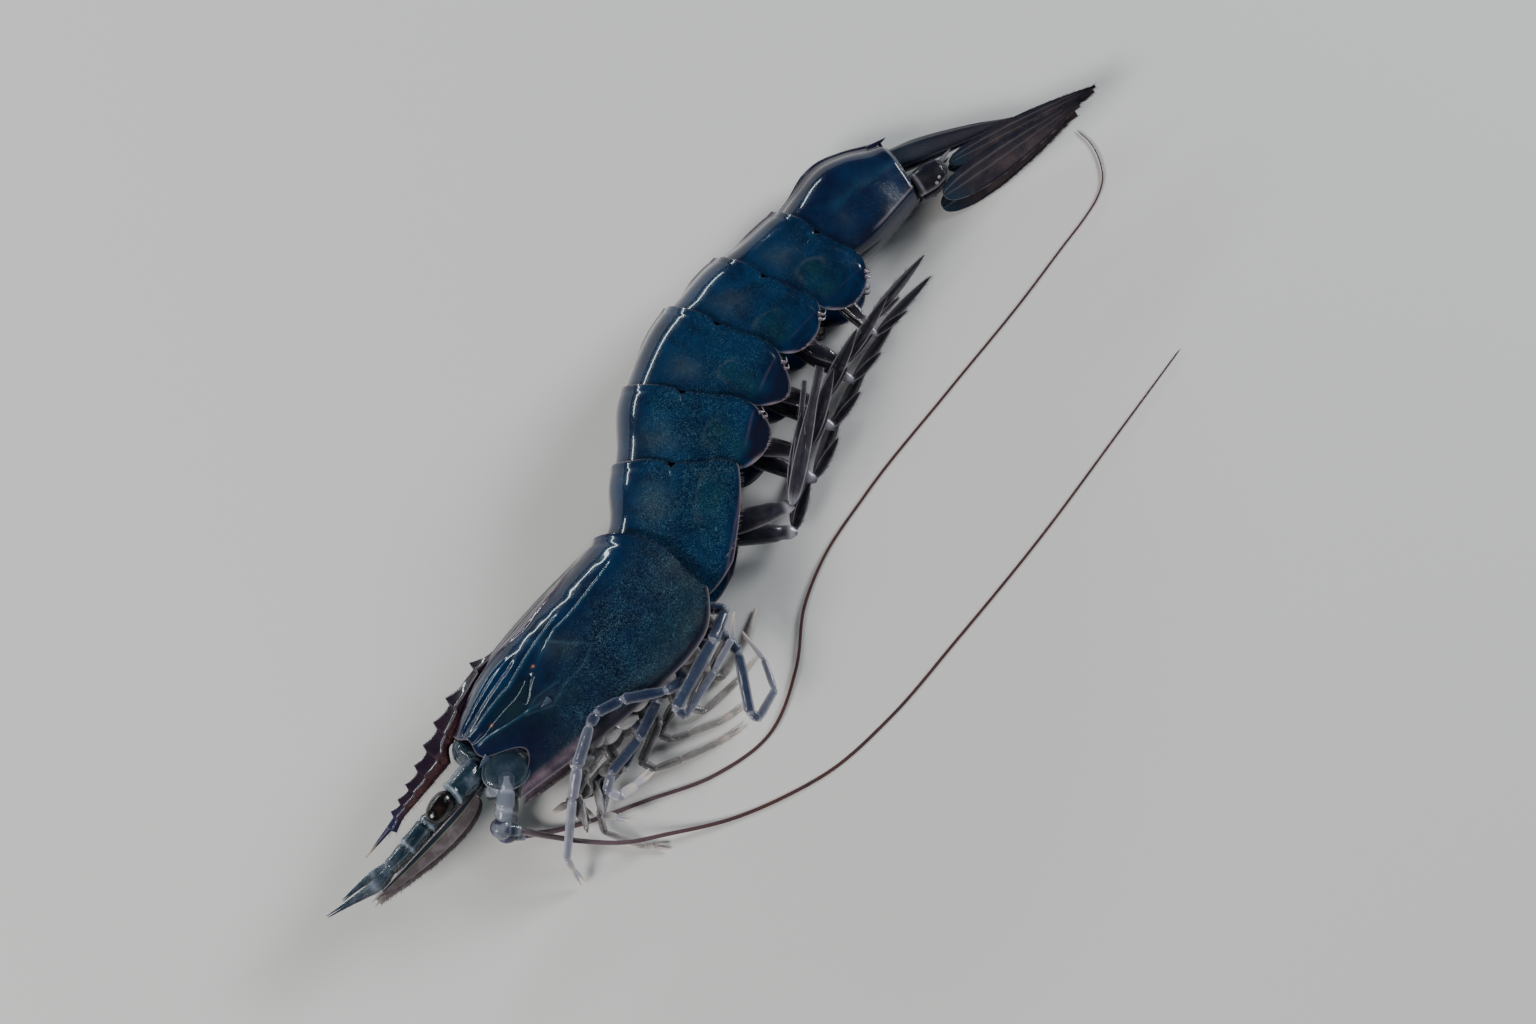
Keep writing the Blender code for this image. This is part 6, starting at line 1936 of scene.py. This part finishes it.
LEGS = (
    Leg("maxilliped_L", (
        (41.5, 3.4, 10.6, 1.1), (43.1, 6.4, 11.0, 0.95), (47.4, 7.2, 11.2, 0.9),
        (51.0, 8.2, 10.2, 0.8), (52.0, 10.2, 8.8, 0.65), (51.6, 12.2, 7.8, 0.3)), None, 0.2, 0.2),
    Leg("maxilliped_R", (
        (41.5, 3.4, 6.6, 1.1), (43.1, 8.4, 5.6, 0.95), (48.2, 8.4, 4.6, 0.85),
        (52.6, 7.6, 3.6, 0.75), (55.0, 6.8, 3.0, 0.3)), None, 0.2, 0.4),
    Leg("leg_1_L", (
        (36.6, 3.4, 10.6, 1.15), (37.6, 9.0, 8.6, 0.9), (43.0, 10.4, 7.2, 0.75),
        (47.4, 9.8, 6.0, 0.7), (48.6, 11.2, 5.2, 0.66), (50.6, 12.4, 4.2, 0.6),
        (47.2, 16.6, 3.0, 0.2)), (0.9, 0.1, 0.0), 0.5, 0.5),
    Leg("leg_2_L", (
        (32.0, 3.4, 10.6, 1.15), (32.6, 7.8, 11.0, 0.95), (38.6, 9.6, 10.8, 0.85),
        (45.2, 10.0, 10.2, 0.8), (47.7, 11.4, 9.2, 0.75), (46.8, 13.2, 8.6, 0.85),
        (40.6, 14.4, 8.0, 0.2)), (0.2, -0.9, 0.0), 0.6, 0.9),
    Leg("leg_3_L", (
        (27.4, 3.4, 10.6, 1.15), (27.6, 8.6, 11.6, 0.9), (31.2, 8.2, 15.0, 0.8),
        (36.6, 4.6, 16.6, 0.88), (40.6, 3.2, 17.0, 0.86), (42.6, 3.6, 16.8, 0.86),
        (48.2, 6.2, 14.4, 0.92), (52.1, 8.7, 12.0, 0.82), (58.8, 13.4, 4.9, 0.58),
        (60.0, 17.2, 0.8, 0.25)), (-0.8, 0.2, 0.1), 0.95, 0.55),
    Leg("leg_4_L", (
        (22.6, 3.4, 10.6, 1.15), (18.4, 8.2, 10.2, 0.95), (18.9, 11.4, 9.7, 0.88),
        (24.2, 18.7, 7.4, 0.82), (23.9, 20.2, 6.5, 0.72), (18.9, 18.9, 5.2, 0.6),
        (16.5, 14.4, 4.4, 0.5), (15.5, 9.0, 3.6, 0.18)), None, 0.6, 0.55),
    Leg("leg_5_L", (
        (17.6, 3.0, 10.6, 1.0), (15.7, 5.8, 11.2, 0.9), (20.6, 7.9, 13.2, 0.98),
        (32.0, 11.0, 14.7, 0.9), (31.9, 12.7, 13.1, 0.66), (23.9, 11.1, 12.2, 0.58),
        (18.6, 9.8, 13.1, 0.5), (15.5, 7.4, 14.0, 0.18)), None, 0.6, 0.45),
    Leg("leg_1_R", (
        (36.6, 3.4, 6.6, 1.1), (37.8, 9.0, 5.2, 0.9), (46.0, 9.8, 3.2, 0.72),
        (50.8, 12.6, 1.8, 0.62), (51.8, 14.4, 1.2, 0.56), (49.4, 20.0, 0.6, 0.48),
        (46.6, 22.4, 0.4, 0.2)), (0.5, 0.8, 0.0), 0.25, 0.5),
    Leg("leg_2_R", (
        (32.0, 3.4, 6.6, 1.1), (34.4, 9.4, 5.2, 0.9), (40.4, 11.4, 2.8, 0.72),
        (39.6, 13.4, 1.5, 0.6), (35.8, 15.2, 0.9, 0.58), (30.6, 17.4, 0.7, 0.5),
        (25.6, 18.8, 0.4, 0.18)), (0.1, -0.8, 0.0), 0.15, 0.5),
    Leg("leg_3_R", (
        (27.4, 3.4, 6.6, 1.1), (30.4, 9.2, 5.0, 0.9), (35.4, 10.2, 2.0, 0.68),
        (34.6, 12.0, 0.8, 0.6), (32.0, 13.4, 0.6, 0.58), (27.6, 15.6, 0.6, 0.5),
        (22.8, 16.8, 0.4, 0.18)), (0.1, -0.8, 0.0), 0.15, 0.5),
    Leg("leg_4_R", (
        (22.6, 3.4, 6.6, 1.1), (23.4, 9.0, 5.0, 0.9), (29.2, 11.0, 1.8, 0.72),
        (28.0, 12.8, 0.8, 0.6), (21.2, 13.2, 0.6, 0.5), (16.6, 12.8, 0.4, 0.18)), None, 0.15, 0.5),
    Leg("leg_5_R", (
        (17.6, 3.2, 6.6, 1.05), (18.2, 8.4, 5.0, 0.9), (24.0, 9.6, 1.6, 0.72),
        (22.2, 11.2, 0.65, 0.6), (15.4, 9.8, 0.55, 0.5), (11.0, 7.6, 0.4, 0.18)), None, 0.15, 0.5),
)


@dataclass
class Swimmerets:
    """Five pairs of swimming legs: a flat stem and two fringed leaves each."""

    stem_ends: tuple = (
        ((-3.2, 2.4, 10.9), (-1.6, 4.6, 3.6)), ((-10.6, -1.6, 10.0), (-9.6, 1.4, 3.4)),
        ((-17.9, -5.3, 9.4), (-17.6, -2.2, 3.2)), ((-25.0, -6.9, 8.8), (-25.0, -4.9, 3.0)),
        ((-32.3, -8.8, 8.0), (-32.6, -7.2, 3.3)))
    outer: tuple = (14.0, 13.6, 12.6, 12.2, 13.6)
    inner: tuple = (8.4, 7.6, 7.0, 6.4, 6.4)
    headings: tuple = (218.0, 206.0, 198.0, 192.0, 184.0)
    straps: tuple = ((-0.10, 21.5, 2.4), (0.0, 19.0, 1.4))

    def build(self, finishes: Finishes) -> None:
        """Make every pair."""
        for index in range(5):
            for side, stem in zip(Side, self.stem_ends[index]):
                self.limb(finishes, index, side, np.array(stem))

    def root(self, index: int, side: Side) -> Array:
        """Where a stem grows: under the middle of its segment, just inside the side plate."""
        begin, end = BODY.span(index)
        x, y, dx, dy = BODY.back((begin + end) / 2)
        depth, half, z = (BODY.read((begin + end) / 2, column) for column in (3, 4, 5))
        down = depth * (BODY.dome + (1 - BODY.dome) * 0.6) + 1.2
        return np.array((x + down * dx, y + down * dy, z + side.sign * 0.26 * half))

    def limb(self, finishes: Finishes, index: int, side: Side, stem: Array) -> None:
        """Make one swimming leg."""
        left = side is Side.LEFT
        root, size = self.root(index, side), 1.0 - 0.09 * index
        heading = math.radians(self.headings[index])
        rearward = np.array((math.cos(heading), math.sin(heading), 0.0))
        turned = np.array((-rearward[1], rearward[0], 0.0))
        start = stem + unit(root - stem) * 0.4
        rows, columns = 50, 36
        path = spread_path([(*place, radius * size) for place, radius in (
            (root, 1.7), ((root + stem) / 2, 1.75), (stem, 1.0))], rows)
        t = np.linspace(0, 1, rows)
        path[:, 3] *= closing(t, 1.03, 0.12) * (1 - 0.14 * bell(t, 0.82, 0.05))
        edge, t = np.cos(turns(columns)) ** 6, t[:, None]
        skin, fringe = Skin(), Skin()
        skin.tube(uneven(sweep(path, columns, 0.55), 0.07, 1.6, index),
                  {"milky": 0.9 * bell(t, 0.93, 0.06) + 0.7 * edge,
                   "dark": 0.6 * (1 - edge) * bell(t, 0.45, 0.3)})
        across = turned * 0.9 + (0.0, 0.0, 0.35 * side.sign)
        rise = (0.0, 0.0, 1.5 if left else 0.45 - stem[2])
        for tip, width in (
                (stem + rearward * self.outer[index] + rise, 2.7 * size),
                (stem + (rearward * 0.98 - turned * 0.16) * self.inner[index], 1.9 * size)):
            self.leaf(skin, fringe, Leaf(start, tip, across, width), 10 * index + left)
        if index == 0 and left:
            for away, reach, width in self.straps:
                tip = stem + (rearward + turned * away) * reach + (0.0, 0.0, 1.6 + 4.0 * away)
                strap = Leaf(start + (0.0, 0.0, 0.5), tip, across, width, 0.55, (0.62, 0.60))
                self.leaf(skin, fringe, strap, 7, 0.10)
        name = f"pleopod_{index + 1}_{side.value}"
        skin.build(f"{name}_leaves", finishes.fin, "swimmeret", name)
        path[:, 3] *= 0.5
        Skin().tube(sweep(path[4:-4], 16, 0.5)).build(f"{name}_core", finishes.core, "swimmeret")
        fringe.build(f"{name}_fringe", finishes.hair, "swimmeret")

    @staticmethod
    def leaf(skin: Skin, fringe: Skin, leaf: Leaf, seed: int, shine: float = 0.0) -> None:
        """Add a leaf with a middle rib and cross rings, and its long bristles.

        It is dished: its middle lies lower than its edges by the square of s, most half way along.
        """
        normal = leaf.axes[2]
        t, s = sheet(80, 25)
        rib = bell(s, 0.0, 0.14) * ramp(1.0, 0.7, t)
        lens = (0.25 * (1 - 0.4 * t) * (0.25 + 0.55 * (1 - s**2)) + 0.12 * rib
                + 0.02 * wave(t, 30) * (1 - s**2))
        dish = 0.125 * leaf.width * (s**2 - 0.3) * np.sin(np.pi * t)
        place = leaf.place(t, s) + normal * dish[..., None]
        marks = {"milky": shine + 0.85 * bell(np.abs(s), 1.0, 0.10) + 0.6 * ramp(0.12, 0.0, t),
                 "dark": (0.9 - 1.8 * shine) * bell(s, 0.0, 0.34) * ramp(0.0, 0.2, t)}
        skin.wall(place + normal * lens[..., None], place - normal * lens[..., None], marks)
        fringe.hairs(*leaf.fringe(300 + seed, 110, 0.5, (0.4, 1.0), (0.25, 0.6)), 0.020, 0.05)


@dataclass
class Studio:
    """A plain pale floor, soft lights and the camera at the photo's angle."""

    azimuth: float = 132.8
    elevation: float = 78.0
    lens: float = 90.0
    distance: float = 582.0
    sensor: float = 36.0
    clip: tuple = (0.01, 20.0)
    half_floor: float = 3.0
    target: tuple = (-2.1, -0.66, 9.0)
    lamps: tuple = (("front", (1.0, -0.10, 0.70), 950, 420, 320, 10.0, (1.0, 0.98, 0.95)),
                    ("rear", (-1.0, 0.12, 0.46), 950, 400, 260, 10.0, (0.93, 0.97, 1.0)),
                    ("strip", (0.10, -1.0, 0.22), 620, 600, 24, 1.8, (0.86, 1.0, 1.0)))
    sky: Colour = (0.66, 0.84, 1.0)
    sky_strength: float = 0.085

    def directions(self) -> tuple[Array, Array, Array]:
        """The picture's right and up, and the way from the target back to the camera."""
        a, e = math.radians(self.azimuth), math.radians(self.elevation)
        right = np.array((math.cos(a), math.sin(a), 0.0))
        ahead = np.array((-math.sin(a), math.cos(a), 0.0))
        back = -ahead * math.cos(e) + np.array((0, 0, math.sin(e)))
        return right, ahead * math.sin(e) + np.array((0, 0, math.cos(e))), back

    def build(self) -> None:
        """Make the camera, the floor, the lights and the world."""
        right, up, back = self.directions()
        target = np.array(self.target)
        camera = bpy.data.objects.new("camera", bpy.data.cameras.new("camera"))
        camera.data.lens, camera.data.sensor_width = self.lens, self.sensor
        camera.data.clip_start, camera.data.clip_end = self.clip
        place = (target + back * self.distance) * MM
        turn = Matrix(np.stack([right, up, back], axis=1).tolist()).to_4x4()
        camera.matrix_world = Matrix.Translation(Vector(place)) @ turn
        bpy.context.scene.collection.objects.link(camera)
        bpy.context.scene.camera = camera
        self.floor()
        for lamp in self.lamps:
            self.lamp(*lamp)
        world = bpy.data.worlds.new("studio")
        world.use_nodes = True
        sky = world.node_tree.nodes["Background"].inputs
        sky["Color"].default_value, sky["Strength"].default_value = (*self.sky, 1.0), self.sky_strength
        bpy.context.scene.world = world

    def floor(self) -> None:
        """A pale floor that the model lies on."""
        mesh = bpy.data.meshes.new("floor")
        h = self.half_floor
        mesh.from_pydata([(-h, -h, 0), (h, -h, 0), (h, h, 0), (-h, h, 0)], [], [(0, 1, 2, 3)])
        floor = bpy.data.objects.new("floor", mesh)
        bpy.context.scene.collection.objects.link(floor)
        g = Graph("pale_floor", {"Specular IOR Level": 0.2})
        mesh.materials.append(g.finish((0.62, 0.61, 0.60), roughness=0.55 + g.noise(60.0) * 0.1))

    def lamp(self, name: str, way: tuple, distance: float, wide: float, tall: float, power: float,
             colour: Colour) -> None:
        """An area light that looks at the target.

        Args:
            name: Its name.
            way: Direction from the target.
            distance: Millimetres from the target.
            wide: Its width in millimetres.
            tall: Its height in millimetres.
            power: Watts.
            colour: Its colour.
        """
        light = bpy.data.lights.new(name, "AREA")
        light.shape, light.size, light.size_y = "RECTANGLE", wide * MM, tall * MM
        light.energy, light.color = power, colour
        lamp = bpy.data.objects.new(name, light)
        away = Vector(unit(np.array(way)) * distance * MM)
        lamp.location = Vector(np.array(self.target) * MM) + away
        lamp.rotation_euler = away.to_track_quat("Z", "Y").to_euler()
        bpy.context.scene.collection.objects.link(lamp)


def main() -> None:
    """Build every part of the dressed model in order."""
    logging.basicConfig(level=logging.INFO, format="%(name)s %(message)s")
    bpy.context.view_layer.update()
    Studio().build()
    finishes = Finishes()
    Carapace().build(finishes)
    Rostrum().build(finishes)
    Trunk().build(finishes)
    for index in range(5):
        TailSegment(index).build(finishes)
    LastSegment().build(finishes)
    TailFan().build(finishes)
    HeadLimbs().build(finishes)
    Antennae().build(finishes)
    for seed, leg in enumerate(LEGS):
        leg.build(finishes, seed)
    MouthParts().build(finishes)
    Swimmerets().build(finishes)


if __name__ == "__main__":
    main()
